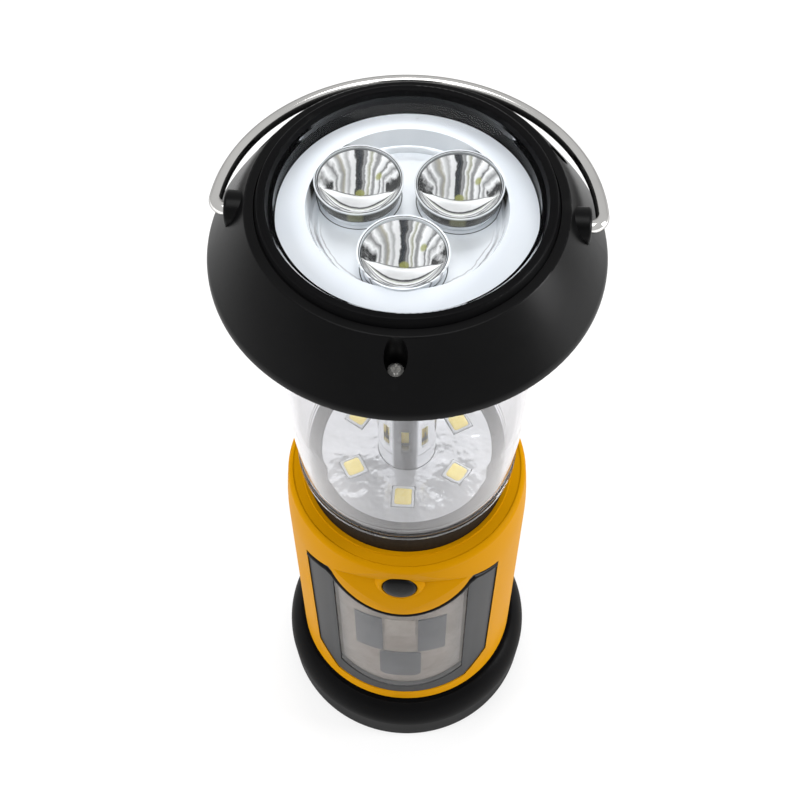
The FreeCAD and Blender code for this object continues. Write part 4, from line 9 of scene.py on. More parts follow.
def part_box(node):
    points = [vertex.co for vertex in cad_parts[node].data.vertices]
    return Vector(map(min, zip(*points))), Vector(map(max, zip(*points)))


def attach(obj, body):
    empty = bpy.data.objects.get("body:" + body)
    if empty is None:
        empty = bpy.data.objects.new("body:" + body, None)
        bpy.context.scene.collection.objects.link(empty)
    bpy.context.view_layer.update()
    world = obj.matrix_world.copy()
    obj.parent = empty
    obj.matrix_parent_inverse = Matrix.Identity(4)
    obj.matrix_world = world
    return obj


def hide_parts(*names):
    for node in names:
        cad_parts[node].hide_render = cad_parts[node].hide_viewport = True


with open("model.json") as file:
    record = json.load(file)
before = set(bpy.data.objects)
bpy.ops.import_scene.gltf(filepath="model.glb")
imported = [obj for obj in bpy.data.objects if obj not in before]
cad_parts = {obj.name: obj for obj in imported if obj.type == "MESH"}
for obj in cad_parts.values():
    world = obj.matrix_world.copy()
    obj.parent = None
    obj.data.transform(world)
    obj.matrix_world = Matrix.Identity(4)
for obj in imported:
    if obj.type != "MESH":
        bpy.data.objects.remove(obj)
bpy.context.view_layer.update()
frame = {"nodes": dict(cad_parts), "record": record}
nodes = frame["nodes"]
MM = 0.001


# Materials, whose sizes are in metres, as the object coordinates are


class Graph:
    """A new material's node tree, with short calls for the nodes used here."""

    def __init__(self, name):
        self.material = bpy.data.materials.new(name)
        self.material.use_nodes = True
        self.tree = self.material.node_tree
        self.tree.nodes.clear()
        self.out = self.tree.nodes.new("ShaderNodeOutputMaterial")
        self.place = self.add("ShaderNodeTexCoord").outputs["Object"]

    def add(self, kind, **settings):
        made = self.tree.nodes.new(kind)
        for key, value in settings.items():
            setattr(made, key, value)
        return made

    def link(self, source, target):
        self.tree.links.new(source, target)

    def set(self, node, values):
        """Link or set a node's inputs, and give the node back."""
        for key, value in values.items():
            socket = node.inputs[key]
            if isinstance(value, bpy.types.NodeSocket):
                self.link(value, socket)
            else:
                socket.default_value = value
        return node

    def math(self, operation, first, second):
        node = self.add("ShaderNodeMath", operation=operation)
        return self.set(node, {0: first, 1: second}).outputs[0]

    def noise(self, scale, detail=3.0, roughness=0.5, stretch=None):
        """Noise whose spots are drawn out along the axes where stretch is under 1."""
        place = self.place
        if stretch is not None:
            mapping = self.add("ShaderNodeMapping")
            mapping.inputs["Scale"].default_value = stretch
            self.link(place, mapping.inputs["Vector"])
            place = mapping.outputs["Vector"]
        made = self.add("ShaderNodeTexNoise")
        self.set(made, {"Vector": place, "Scale": scale, "Detail": detail, "Roughness": roughness})
        return made.outputs["Fac"]

    def remap(self, value, low, high, to_low=0.0, to_high=1.0):
        made = self.add("ShaderNodeMapRange")
        self.set(made, {"Value": value, "From Min": low, "From Max": high})
        self.set(made, {"To Min": to_low, "To Max": to_high})
        return made.outputs["Result"]

    def along(self, axis):
        """The place along X, Y or Z."""
        made = self.set(self.add("ShaderNodeSeparateXYZ"), {"Vector": self.place})
        return made.outputs[axis]

    def away(self, centre=(0.0, 0.0)):
        """Distance from an upright line through this centre."""
        flat = self.set(self.add("ShaderNodeVectorMath", operation="MULTIPLY"), {0: self.place, 1: (1, 1, 0)})
        made = self.set(self.add("ShaderNodeVectorMath", operation="DISTANCE"),
                        {0: flat.outputs["Vector"], 1: (*centre, 0)})
        return made.outputs["Value"]

    def above(self, value, edge, soft):
        """0 below the edge and 1 above it, with a soft step between."""
        return self.remap(value, edge - soft, edge + soft)

    def line_at(self, value, centre, half):
        """1 within a band about the centre, 0 outside it."""
        rise = self.above(value, centre - half, half * 0.3)
        fall = self.remap(value, centre + half * 0.7, centre + half * 1.3, 1.0, 0.0)
        return self.math("MULTIPLY", rise, fall)

    def ramp(self, value, stops):
        """Colour by value from 0 to 1, through (place, grey or colour) stops."""
        made = self.add("ShaderNodeValToRGB")
        self.link(value, made.inputs["Fac"])
        items = made.color_ramp.elements
        for index, (place, tone) in enumerate(stops):
            item = items[index] if index < 2 else items.new(place)
            item.position = place
            colour = (tone, tone, tone) if isinstance(tone, float) else tone
            item.color = (*colour, 1.0)
        return made.outputs["Color"]

    def blend(self, factor, first, second):
        """The first colour where the factor is 0, the second where it is 1."""
        made = self.add("ShaderNodeMix", data_type="RGBA")
        self.link(factor, made.inputs["Factor"])
        for index, value in ((6, first), (7, second)):
            if isinstance(value, bpy.types.NodeSocket):
                self.link(value, made.inputs[index])
            else:
                made.inputs[index].default_value = (*value, 1.0)
        return made.outputs[2]

    def fade(self, value, low, high, first, second):
        """The first colour where the value is low, the second where it is high."""
        return self.blend(self.remap(value, low, high), first, second)

    def bump(self, height, strength, distance):
        made = self.add("ShaderNodeBump")
        self.set(made, {"Height": height, "Strength": strength, "Distance": distance})
        return made.outputs["Normal"]

    def wear(self, low, high):
        """How far a point is along an outer edge, from 0 to 1."""
        geometry = self.add("ShaderNodeNewGeometry")
        return self.remap(geometry.outputs["Pointiness"], low, high)

    def principled(self, values):
        made = self.set(self.add("ShaderNodeBsdfPrincipled"), values)
        self.link(made.outputs["BSDF"], self.out.inputs["Surface"])
        return made

    def mixed(self, factor, first, second):
        """Show the first shader where the factor is 0, the second where it is 1."""
        shaders = {1: first.outputs[0], 2: second.outputs[0]}
        made = self.set(self.add("ShaderNodeMixShader"), {0: factor, **shaders})
        self.link(made.outputs[0], self.out.inputs["Surface"])


def scaled(colour, share, add=0.0):
    return tuple(min(1.0, channel * share + add) for channel in colour)


def moulded(name, colour, roughness, grain=0.12, grain_size=1400.0, index=1.45, spread=0.12, gloss=1.0):
    """Moulded plastic: fine spark grain, slow drift of colour and gloss, paler rubbed edges.

    A gloss under 1 gives the rest of the surface to a matt skin of the same colour.
    """
    graph = Graph(name)
    slow = graph.noise(45.0, 4.0, 0.55)
    fine = graph.noise(grain_size, 2.0, 0.6)
    base = graph.fade(slow, 0.3, 0.7, scaled(colour, 1 - spread), scaled(colour, 1 + spread, 0.0008))
    base = graph.blend(graph.wear(0.57, 0.7), base, scaled(colour, 1.25, 0.006))
    normal = graph.bump(fine, grain, 0.00006)
    shiny = graph.principled({
        "Base Color": base,
        "Roughness": graph.remap(slow, 0.25, 0.75, roughness * 0.88, roughness * 1.14),
        "Normal": normal,
        "IOR": index,
    })
    if gloss < 1.0:
        dull = graph.set(graph.add("ShaderNodeBsdfDiffuse"), {"Color": base, "Normal": normal})
        graph.mixed(gloss, dull, shiny)
    return graph.material


def metal(name, colour, roughness, stretch=(1.0, 1.0, 1.0), bump=0.08, size=900.0, edge=1.0, share=1.0):
    """Drawn, turned or plated metal, its scratches running along the axis where stretch is under 1.

    The edge tone greys its outline, and a share under 1 leaves it partly unmetallic.
    """
    graph = Graph(name)
    lines = graph.noise(size, 4.0, 0.6, stretch)
    slow = graph.noise(60.0, 3.0, 0.5)
    graph.principled({
        "Base Color": graph.fade(slow, 0.3, 0.7, scaled(colour, 0.88), colour),
        "Metallic": share,
        "Specular Tint": (edge, edge, edge, 1.0),
        "Roughness": graph.remap(lines, 0.25, 0.75, roughness * 0.75, roughness * 1.35),
        "Normal": graph.bump(lines, bump, 0.00003),
    })
    return graph.material


def film(name, colour, roughness, ripple, size, metallic, seam=None, shade=None):
    """Mirror film laid by hand, with slow creases and a faint haze.

    The seam is the height of a dark line, and the shade is the half width of a darker middle, a painted
    reflection of dark surroundings.
    """
    graph = Graph(name)
    slow = graph.noise(size, 3.0, 0.55)
    fine = graph.noise(900.0, 2.0, 0.5)
    base = graph.fade(slow, 0.35, 0.7, scaled(colour, 0.9), colour)
    if seam is not None:
        base = graph.blend(graph.line_at(graph.along("Z"), seam, half=0.00016), base, (0.03, 0.03, 0.03))
    if shade is not None:
        # A darker middle facing front and back, a painted reflection of the dark surroundings
        across = graph.math("ABSOLUTE", graph.along("X"), 0.0)
        inside = graph.remap(across, shade - 0.0005, shade + 0.0004, 1.0, 0.0)
        base = graph.blend(inside, base, scaled(colour, 0.2))
    graph.principled({
        "Base Color": base,
        "Metallic": metallic,
        "Roughness": graph.remap(fine, 0.35, 0.8, roughness, roughness * 2.2),
        "Normal": graph.bump(slow, 1.0, ripple),
    })
    return graph.material


CUP_CIRCLE = 0.0133
CUP_ANGLES = [math.radians(angle) for angle in (-90, 30, 150)]
CUPS = [(CUP_CIRCLE * math.cos(angle), CUP_CIRCLE * math.sin(angle)) for angle in CUP_ANGLES]


def lamp_reflector(name):
    """The spot lamp's moulding: a satin rim round a pale plated bowl, with painted shade and a painted chip
    reflection under the two rear cups, and painted reflection arcs on the bowl's front.
    """
    rim_radius = 0.0231
    wall_radius, wall_height = 0.01045, 0.24475
    lip_radius = 0.00985
    spot_drop = 0.0104
    painted_arcs = ((0.0222, 0.00016, 0.30), (0.0209, 0.00030, 0.42), (0.0197, 0.00014, 0.5))

    graph = Graph(name)
    slow = graph.noise(70.0, 3.0, 0.5)
    fine = graph.noise(1500.0, 2.0, 0.5)
    specks = graph.noise(420.0, 1.0, 0.3)
    streaks = graph.noise(160.0, 3.0, 0.6, (1.0, 1.0, 0.2))

    front_cup, *rear_cups = CUPS
    rim = graph.above(graph.away(), rim_radius, soft=0.00006)
    rear = graph.math("MINIMUM", *(graph.away(cup) for cup in rear_cups))
    near = graph.math("MINIMUM", graph.away(front_cup), rear)
    wall = graph.math("MULTIPLY", graph.line_at(rear, wall_radius, half=0.0009),
                      graph.line_at(graph.along("Z"), wall_height, half=0.0015))
    # An olive spot under each rear cup, a painted reflection of its chip
    spot = graph.math("MINIMUM", *(graph.away((x, y - spot_drop)) for x, y in rear_cups))
    # Dark streaks on the walls under the rear cups, painted shade
    shade = graph.fade(streaks, 0.35, 0.65, (0.035, 0.034, 0.03), (0.10, 0.098, 0.09))
    shade = graph.blend(graph.remap(spot, 0.0014, 0.0022, 1.0, 0.0), shade, (0.17, 0.17, 0.10))

    plate = graph.fade(slow, 0.3, 0.7, (0.74, 0.77, 0.80), (0.86, 0.88, 0.90))
    # Thin darker arcs drawn on the front of the bowl only, painted reflections in the plating
    arcs = graph.math("ADD", graph.away(), graph.remap(streaks, 0.2, 0.8, -0.0006, 0.0006))
    front = graph.remap(graph.along("Y"), -0.007, -0.001, 1.0, 0.0)
    for radius, half, tone in painted_arcs:
        line = graph.math("MULTIPLY", graph.line_at(arcs, radius, half), front)
        plate = graph.blend(line, plate, (tone, tone, tone * 1.03))
    plate = graph.blend(graph.line_at(near, lip_radius, half=0.00013), plate, (0.07, 0.07, 0.07))
    plate = graph.blend(wall, plate, shade)

    satin = graph.fade(slow, 0.3, 0.7, (0.77, 0.805, 0.85), (0.81, 0.84, 0.875))
    satin = graph.fade(specks, 0.79, 0.83, satin, (0.25, 0.26, 0.28))
    plated = graph.remap(rim, 0.0, 1.0, 0.18, 0.0)
    graph.principled({
        "Base Color": graph.blend(rim, plate, satin),
        "Metallic": graph.math("MULTIPLY", plated, graph.remap(wall, 0.0, 1.0, 1.0, 0.0)),
        "Roughness": graph.remap(rim, 0.0, 1.0, 0.16, 0.42),
        "Normal": graph.bump(fine, 0.05, 0.00002),
        "Specular IOR Level": 0.15,
    })
    return graph.material


EYE_HALF = 0.0086
EYE_MIDDLE = -0.0018
EYE_LEVELS = (-0.0075, 0.0025)
# Tones of the streaks, painted reflected light and shade, from the cup's left side to its right
STREAKS = [
    (0.00, 0.03), (0.035, 0.86), (0.08, 0.20), (0.12, 0.93), (0.17, 0.40), (0.21, (0.42, 0.40, 0.33)),
    (0.25, 0.97), (0.31, 0.48), (0.345, 0.98), (0.405, 0.93), (0.425, 0.05), (0.47, (0.035, 0.04, 0.048)),
    (0.515, 0.09), (0.53, 0.40), (0.565, 0.26), (0.585, 0.97), (0.64, (0.36, 0.36, 0.26)), (0.67, 0.93),
    (0.705, 0.30), (0.74, 0.30), (0.77, 0.97), (0.83, 0.75), (0.86, 0.12), (0.885, 0.93), (0.94, 0.24),
    (0.975, 0.85), (1.00, 0.03),
]
# Tones of the eye and what lies before it, painted light and shade, from the cup's front edge to the eye's
# rear edge
BANDS = [
    (0.00, 0.22), (0.10, 0.50), (0.17, 0.72), (0.23, 0.10), (0.27, 0.06), (0.30, 0.66), (0.37, 0.84),
    (0.43, (0.50, 0.52, 0.44)), (0.47, 0.34), (0.50, 0.04), (0.535, 0.05), (0.56, 0.70), (0.66, 0.92),
    (0.86, 0.88), (0.91, 0.45), (0.945, 0.06), (0.97, 0.20),
]


def cup_lining(name, centre):
    """The optic's flank with its reflections painted: upright streaks of painted light and shade, then the
    bright eye over the chip.
    """
    graph = Graph(name)
    across = graph.math("SUBTRACT", graph.along("X"), centre[0])
    back = graph.math("SUBTRACT", graph.along("Y"), centre[1])
    wander = graph.noise(260.0, 3.0, 0.6, (1.0, 1.0, 0.8))

    turn = graph.math("DIVIDE", across, graph.math("MAXIMUM", graph.away(centre), 0.0064))
    turn = graph.math("ADD", graph.remap(turn, -1.0, 1.0), graph.remap(wander, 0.2, 0.8, -0.035, 0.035))
    streaks = graph.ramp(turn, STREAKS)

    spread = graph.math("DIVIDE", across, EYE_HALF)
    room = graph.math("SUBTRACT", 1.0, graph.math("MULTIPLY", spread, spread))
    level = graph.math("DIVIDE", graph.math("SUBTRACT", back, EYE_MIDDLE), graph.math("MAXIMUM", room, 0.03))
    level = graph.math("ADD", level, graph.remap(wander, 0.2, 0.8, -0.00025, 0.00025))
    bands = graph.ramp(graph.remap(level, *EYE_LEVELS), BANDS)
    base = graph.blend(graph.above(level, EYE_LEVELS[1] - 0.0002, soft=0.00012), bands, streaks)

    x, y = centre
    # Two olive blobs, painted reflections of the chip
    large = graph.away((x + 0.0001, y + 0.0009))
    small = graph.math("ADD", graph.away((x + 0.0042, y + 0.0044)), 0.0004)
    painted_glint = graph.remap(graph.math("MINIMUM", large, small), 0.0009, 0.0013, 0.8, 0.0)
    graph.principled({
        "Base Color": graph.blend(painted_glint, base, (0.36, 0.37, 0.10)),
        "Roughness": graph.remap(wander, 0.3, 0.7, 0.2, 0.4),
        "Normal": graph.bump(wander, 0.3, 0.0002),
        "IOR": 1.2,
    })
    return graph.material


def clear(name, tint, roughness=0.01, ripple=0.0001, index=1.49, absorb=0.0):
    """Clear moulded plastic that lets light through to what is behind it, greyer inside where it absorbs."""
    graph = Graph(name)
    slow = graph.noise(30.0, 2.0, 0.5)
    fine = graph.noise(700.0, 3.0, 0.6)
    glass = graph.set(graph.add("ShaderNodeBsdfGlass"), {
        "Color": (*tint, 1.0),
        "Roughness": graph.remap(fine, 0.55, 0.85, roughness, roughness * 3.0),
        "IOR": index,
        "Normal": graph.bump(slow, 0.25, ripple),
    })
    through = graph.set(graph.add("ShaderNodeBsdfTransparent"), {"Color": (*tint, 1.0)})
    path = graph.add("ShaderNodeLightPath")
    either = graph.math("MAXIMUM", path.outputs["Is Shadow Ray"], path.outputs["Is Diffuse Ray"])
    graph.mixed(either, glass, through)
    if absorb:
        soak = graph.add("ShaderNodeVolumeAbsorption")
        graph.set(soak, {"Color": (0.5, 0.5, 0.56, 1.0), "Density": absorb})
        graph.link(soak.outputs[0], graph.out.inputs["Volume"])
    return graph.material


def phosphor(name, dark, light, glow):
    """The yellow face of an unlit lamp chip: granular phosphor under a thin clear skin, brightened by a faint
    painted glow.
    """
    graph = Graph(name)
    fine = graph.noise(1600.0, 3.0, 0.7)
    graph.principled({
        "Base Color": graph.fade(fine, 0.3, 0.7, dark, light),
        "Roughness": graph.remap(fine, 0.3, 0.7, 0.3, 0.5),
        "Normal": graph.bump(fine, 0.2, 0.00005),
        "Coat Weight": 0.4,
        "Coat Roughness": 0.12,
        # The emission is a painted glow on a chip that is not lit
        "Emission Color": (*light, 1.0),
        "Emission Strength": glow,
    })
    return graph.material


def rubber(name, colour):
    """Soft rubber with a coarse matt grain."""
    graph = Graph(name)
    fine = graph.noise(1100.0, 4.0, 0.65)
    slow = graph.noise(70.0, 3.0, 0.5)
    graph.principled({
        "Base Color": graph.fade(slow, 0.3, 0.7, scaled(colour, 0.8), colour),
        "Roughness": graph.remap(fine, 0.3, 0.7, 0.5, 0.68),
        "Normal": graph.bump(fine, 0.25, 0.00008),
        "IOR": 1.2,
    })
    return graph.material


def board(name, colour, trace):
    """A lacquered circuit board with faint copper runs."""
    graph = Graph(name)
    lines = graph.noise(240.0, 1.0, 0.4, (6.0, 6.0, 0.4))
    fine = graph.noise(900.0, 2.0, 0.5)
    graph.principled({
        "Base Color": graph.fade(lines, 0.55, 0.6, colour, trace),
        "Roughness": graph.remap(fine, 0.3, 0.7, 0.28, 0.42),
        "Normal": graph.bump(lines, 0.2, 0.00005),
        "Coat Weight": 0.3,
    })
    return graph.material


def printed(name, colour, other):
    """A panel, tile or plate behind the window: a soft mottle of two tones under a matt varnish."""
    graph = Graph(name)
    cloud = graph.noise(110.0, 5.0, 0.62, (0.8, 0.8, 0.9))
    fine = graph.noise(700.0, 3.0, 0.6)
    base = graph.fade(cloud, 0.38, 0.64, colour, other)
    base = graph.blend(graph.remap(fine, 0.3, 0.75, 0.0, 0.35), base, scaled(colour, 0.7))
    graph.principled({
        "Base Color": base,
        "Roughness": graph.remap(fine, 0.3, 0.7, 0.4, 0.55),
        "Normal": graph.bump(fine, 0.15, 0.00006),
        "IOR": 1.15,
    })
    return graph.material


# Materials of the pieces made here

package_white = moulded("lamp package", (0.58, 0.59, 0.60), 0.35, 0.05, 1500.0, index=1.4, spread=0.05)
# The last value given to phosphor is each chip's painted glow
chip_yellow = phosphor("phosphor", (0.78, 0.60, 0.10), (0.88, 0.74, 0.24), 0.06)
chip_olive = phosphor("lamp chip", (0.34, 0.33, 0.07), (0.52, 0.50, 0.16), 0.02)
optic_clear = clear("optic clear", (1.0, 1.0, 1.0), 0.0, 0.0, index=1.3)
barrel_clear = clear("barrel clear", (0.985, 0.985, 0.99), 0.008, 0.00005, absorb=65.0)

# Materials by the record's slot

finishes = {
    "black_satin": moulded("black satin", (0.0020, 0.0020, 0.0022), 0.3, 0.1, 1500.0, index=1.28, gloss=0.62),
    "black_plastic": moulded("black matt", (0.0045, 0.0045, 0.0048), 0.46, 0.2, index=1.16, gloss=0.5),
    "screw_steel": metal("screw steel", (0.90, 0.89, 0.86), 0.2, share=0.8),
    "yellow_plastic": moulded("amber yellow", (0.52, 0.232, 0.0002), 0.33, 0.06, 1700.0,
                              index=1.1, spread=0.03, gloss=0.45),
    "grey_plastic": moulded("grey frame", (0.055, 0.056, 0.058), 0.32, 0.1, index=1.15, gloss=0.5),
    "clear_plastic": clear("clear plastic", (0.985, 0.99, 0.99)),
    "taupe_plastic": printed("taupe panel", (0.130, 0.106, 0.087), (0.215, 0.182, 0.158)),
    "tile_grey": printed("grey tile", (0.014, 0.017, 0.023), (0.034, 0.037, 0.046)),
    "light_grey": printed("pale plate", (0.20, 0.17, 0.145), (0.27, 0.24, 0.21)),
    "board_green": board("board green", (0.02, 0.15, 0.05), (0.05, 0.26, 0.09)),
    "cell_wrap": moulded("cell sleeve", (0.04, 0.09, 0.28), 0.25, 0.05),
    "contact_metal": metal("contact metal", (0.62, 0.6, 0.56), 0.25),
    "collar_rubber": rubber("collar rubber", (0.013, 0.0095, 0.0065)),
    "board_white": board("board white", (0.72, 0.72, 0.7), (0.62, 0.62, 0.6)),
    "mirror_film": film("mirror film", (0.93, 0.94, 0.95), 0.07, 0.0007, 105.0, 0.6),
    "led_yellow": chip_yellow,
    "chrome_plate": metal("bright plating", (0.85, 0.86, 0.87), 0.08),
    "wire_steel": metal("bright wire", (0.86, 0.85, 0.83), 0.12, bump=0.04, size=1200.0, edge=0.08),
    "bush_brass": metal("bush brass", (0.75, 0.52, 0.22), 0.25, (1.0, 0.1, 1.0)),
    "shaft_steel": metal("ground steel", (0.6, 0.6, 0.61), 0.2, (1.0, 0.1, 1.0)),
    "gear_white": moulded("gear white", (0.72, 0.71, 0.66), 0.4),
    "plate_steel": metal("plated sheet", (0.58, 0.59, 0.6), 0.3, (1.0, 1.0, 0.1)),
    "speaker_black": moulded("speaker black", (0.02, 0.02, 0.02), 0.6, 0.4, 800.0),
    "cover_rubber": rubber("cover rubber", (0.018, 0.018, 0.018)),
    "antenna_chrome": metal("aerial chrome", (0.76, 0.76, 0.77), 0.12, bump=0.03),
    "ferrite_dark": moulded("ferrite", (0.04, 0.036, 0.032), 0.55, 0.5, 700.0),
}

# Nodes that look different from the rest of their slot

base_black = moulded("base black", (0.0030, 0.0030, 0.0033), 0.34, 0.1, 1500.0, index=1.2, gloss=0.42)
special = {
    "base_ring": base_black,
    "bezel_ring": base_black,
    "front_window": clear("window clear", (0.99, 0.99, 0.99), 0.01, 0.00008, index=1.18),
    # The column's film is darker down its middle, a painted reflection
    "reflector_column": film("column film", (0.88, 0.89, 0.90), 0.05, 0.00006, 90.0, 0.8,
                             seam=0.147, shade=0.0034),
    "spot_board": board("lamp board", (0.035, 0.036, 0.028), (0.06, 0.06, 0.045)),
    "spot_lens": clear("spot lens clear", (0.99, 0.995, 1.0), 0.004, 0.00003, index=1.12),
    "spot_reflector": lamp_reflector("lamp plating"),
}
slots = {part["node"]: part["material_slot"] for part in frame["record"]["subparts"]}
for name, node in nodes.items():
    node.data.materials.clear()
    node.data.materials.append(special.get(name, finishes[slots[name]]))


# Pieces that replace or fill out CAD nodes, with their sizes in mm


def box(node):
    """A node's lowest and highest corners in mm."""
    return [[value / MM for value in corner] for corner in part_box(node)]


def show(name, verts, faces, material, body="lantern", sharp=40.0):
    """A new piece from points in mm, smooth except at edges sharper than this many degrees."""
    mesh = bpy.data.meshes.new(name)
    mesh.from_pydata([Vector(v) * MM for v in verts], [], faces)
    mesh.validate()
    work = bmesh.new()
    work.from_mesh(mesh)
    bmesh.ops.recalc_face_normals(work, faces=work.faces)
    work.to_mesh(mesh)
    work.free()
    mesh.shade_smooth()
    mesh.set_sharp_from_angle(angle=math.radians(sharp))
    mesh.materials.append(material)
    item = bpy.data.objects.new(name, mesh)
    bpy.context.scene.collection.objects.link(item)
    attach(item, body)
    return item


def skin(loops, closed=False):
    """Points and faces of a surface through loops of equal count, capped at its ends or closed on itself."""
    count = len(loops[0])
    verts = [point for loop in loops for point in loop]
    faces = []
    last = len(loops) if closed else len(loops) - 1
    for row in range(last):
        low, high = row * count, (row + 1) % len(loops) * count
        for k in range(count):
            after = (k + 1) % count
            faces.append((low + k, low + after, high + after, high + k))
    if not closed:
        faces.append(tuple(reversed(range(count))))
        faces.append(tuple(range((len(loops) - 1) * count, len(loops) * count)))
    return verts, faces


def merged(skins):
    """Several skins as one."""
    verts, faces = [], []
    for more_verts, more_faces in skins:
        start = len(verts)
        verts += more_verts
        faces += [tuple(index + start for index in face) for face in more_faces]
    return verts, faces


def rounded_square(half, corner, steps=6):
    """Flat points round a square of this half side and corner radius."""
    points = []
    for quarter in range(4):
        middle = math.radians(45 + 90 * quarter)
        cx = (half - corner) * math.copysign(1, math.cos(middle))
        cy = (half - corner) * math.copysign(1, math.sin(middle))
        for step in range(steps + 1):
            angle = math.radians(90 * quarter + 90 * step / steps)
            points.append((cx + corner * math.cos(angle), cy + corner * math.sin(angle)))
    return points


def set_out(flat, height, radius, azimuth):
    """Flat points turned to an azimuth and moved out to a radius, at a height."""
    turn = math.radians(azimuth)
    c, s = math.cos(turn), math.sin(turn)
    return [((radius + x) * c - y * s, (radius + x) * s + y * c, height) for x, y in flat]


FLOOR_LAMPS = 6
FLOOR_LAMP_CIRCLE = 17.0


def square_lamp(rows, azimuth):
    """A square skin on the mirror floor, from (half side, corner radius, height) rows."""
    return skin([set_out(rounded_square(half, corner), z, FLOOR_LAMP_CIRCLE, azimuth)
                 for half, corner, z in rows])


def floor_lamps():
    """Surface-mount lamps: a pale package with a soft-edged well, and the phosphor that fills it."""
    low, high = (corner[2] for corner in box("floor_leds"))
    package = ((3.05, 0.35, low), (3.05, 0.35, high - 0.12), (2.93, 0.3, high), (2.55, 0.75, high),
               (2.42, 0.8, high - 0.28))
    fill = ((2.38, 0.8, high - 0.26), (2.38, 0.8, high - 0.13), (2.2, 0.7, high - 0.06),
            (1.2, 0.4, high - 0.03))
    azimuths = [-90 + 360 / FLOOR_LAMPS * index for index in range(FLOOR_LAMPS)]
    packages = merged(square_lamp(package, azimuth) for azimuth in azimuths)
    lights = merged(square_lamp(fill, azimuth) for azimuth in azimuths)
    made = [show("floor_lamp_packages", *packages, package_white),
            show("floor_lamp_phosphor", *lights, chip_yellow)]
    for item in made:
        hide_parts("floor_leds")


# The waves that flute a flank: how many per turn, their share and their phase
FLUTES = ((5, 1.0, 0.6), (9, 0.8, 2.1), (14, 0.7, 4.4), (23, 0.5, 1.3))


def ring_loop(centre, radius, z, steps, flutes=0.0):
    """A loop about an upright line, its radius waving a little where it is fluted."""
    points = []
    for k in range(steps):
        angle = 2 * math.pi * k / steps
        wave = sum(share * math.sin(waves * angle + phase) for waves, share, phase in FLUTES)
        r = radius * (1 + flutes * wave)
        points.append((centre[0] + r * math.cos(angle), centre[1] + r * math.sin(angle), z))
    return points


OPTIC_TOP = box("spot_reflector")[1][2] - 0.4
OPTIC_FOOT = box("spot_leds")[1][2] + 0.5
OPTIC_RIM = 9.5
OPTIC_HEEL = 4.4
OPTIC_EDGE = 0.35
FLANK_TOP = OPTIC_TOP - 0.8
FLANK_ROWS = 14
FLUTE_DEPTH = 0.004
LINING_RIM = OPTIC_RIM - 0.15
LINING_TOP = OPTIC_TOP - 0.25
LINING_THICKNESS = 0.12
LINING_ROWS = 41
BOWL_DEPTH = 8.6
RIB_MIDDLE = -1.6
RIB_REACH = 1.5
RIB_RISE = 2.6


def lining_height(x, y):
    """The painted lining's height inside an optic, in place of its mirrored flank: a deep bowl with one
    almond rib across it.
    """
    r = math.hypot(x, y) / LINING_RIM
    bowl = LINING_TOP - BOWL_DEPTH * (1 - r * r)
    room = max(0.0, 1 - (x * MM / EYE_HALF) ** 2)
    rib = RIB_RISE * room * math.exp(-((y - RIB_MIDDLE) / RIB_REACH) ** 2)
    return bowl + rib * min(1.0, (1 - r) * 3)


def optic_loops(centre):
    """Loops from the middle of an optic's flat face, down its fluted flank to the foot."""
    rows = [(0.02, OPTIC_TOP, 0.0), (OPTIC_RIM - OPTIC_EDGE, OPTIC_TOP, 0.0),
            (OPTIC_RIM, OPTIC_TOP - OPTIC_EDGE, 0.0)]
    for row in range(FLANK_ROWS + 1):
        share = row / FLANK_ROWS
        z = FLANK_TOP - (FLANK_TOP - OPTIC_FOOT) * share
        r = math.sqrt(OPTIC_RIM ** 2 + (OPTIC_HEEL ** 2 - OPTIC_RIM ** 2) * share)
        rows.append((r, z, FLUTE_DEPTH * min(1.0, share * 4)))
    return [ring_loop(centre, r, z, steps=120, flutes=flutes) for r, z, flutes in rows]


def lining_loops(centre):
    """Loops from the lining's rim to its middle, and back again below it."""
    front, back = [], []
    for row in range(LINING_ROWS):
        flat = ring_loop((0, 0), LINING_RIM * (1 - row / LINING_ROWS), 0.0, steps=96)
        loop = [(centre[0] + x, centre[1] + y, lining_height(x, y)) for x, y, _ in flat]
        front.append(loop)
        back.insert(0, [(x, y, z - LINING_THICKNESS) for x, y, z in loop])
    return front + back


def cup_optics():
    """A clear optic in each cup, and the lining with painted reflections seen through it."""
    for index, (x, y) in enumerate(CUPS):
        centre = (x / MM, y / MM)
        item = show("cup_optic_%d" % index, *skin(optic_loops(centre)), optic_clear)
        # The lining's reflections are painted in its colour
        mirror = cup_lining("cup lining %d" % index, (x, y))
        item = show("cup_lining_%d" % index, *skin(lining_loops(centre), closed=True), mirror)


def lamp_chips():
    """Three chips at the cups' feet: a pale ceramic base and an olive-yellow emitter under a clear skin."""
    low = box("spot_leds")[0][2]
    base = ((2.35, low), (2.35, low + 0.5), (2.2, low + 0.62), (1.9, low + 0.64))
    chip = ((1.85, low + 0.5), (1.8, low + 0.9), (1.45, low + 1.3), (0.9, low + 1.5), (0.3, low + 1.58))
    for name, rows, material in (("spot_lamp_bases", base, package_white),
                                 ("spot_lamp_chips", chip, chip_olive)):
        skins = [skin([ring_loop((x / MM, y / MM), r, z, steps=48) for r, z in rows]) for x, y in CUPS]
        item = show(name, *merged(skins), material)
        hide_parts("spot_leds")


def smooth_way(corners, steps):
    """Points on a smooth curve through flat corners."""
    points = []
    count = len(corners)
    for index in range(count - 1):
        before, start = Vector(corners[max(0, index - 1)]), Vector(corners[index])
        end, after = Vector(corners[index + 1]), Vector(corners[min(count - 1, index + 2)])
        reach = (end - start).length
        leave = (end - before) * (reach / (end - before).length)
        arrive = (after - start) * (reach / (after - start).length)
        for step in range(steps):
            s = step / steps
            points.append(tuple(start * (2 * s ** 3 - 3 * s ** 2 + 1) + leave * (s ** 3 - 2 * s ** 2 + s)
                                + end * (3 * s ** 2 - 2 * s ** 3) + arrive * (s ** 3 - s ** 2)))
    return points + [corners[-1]]


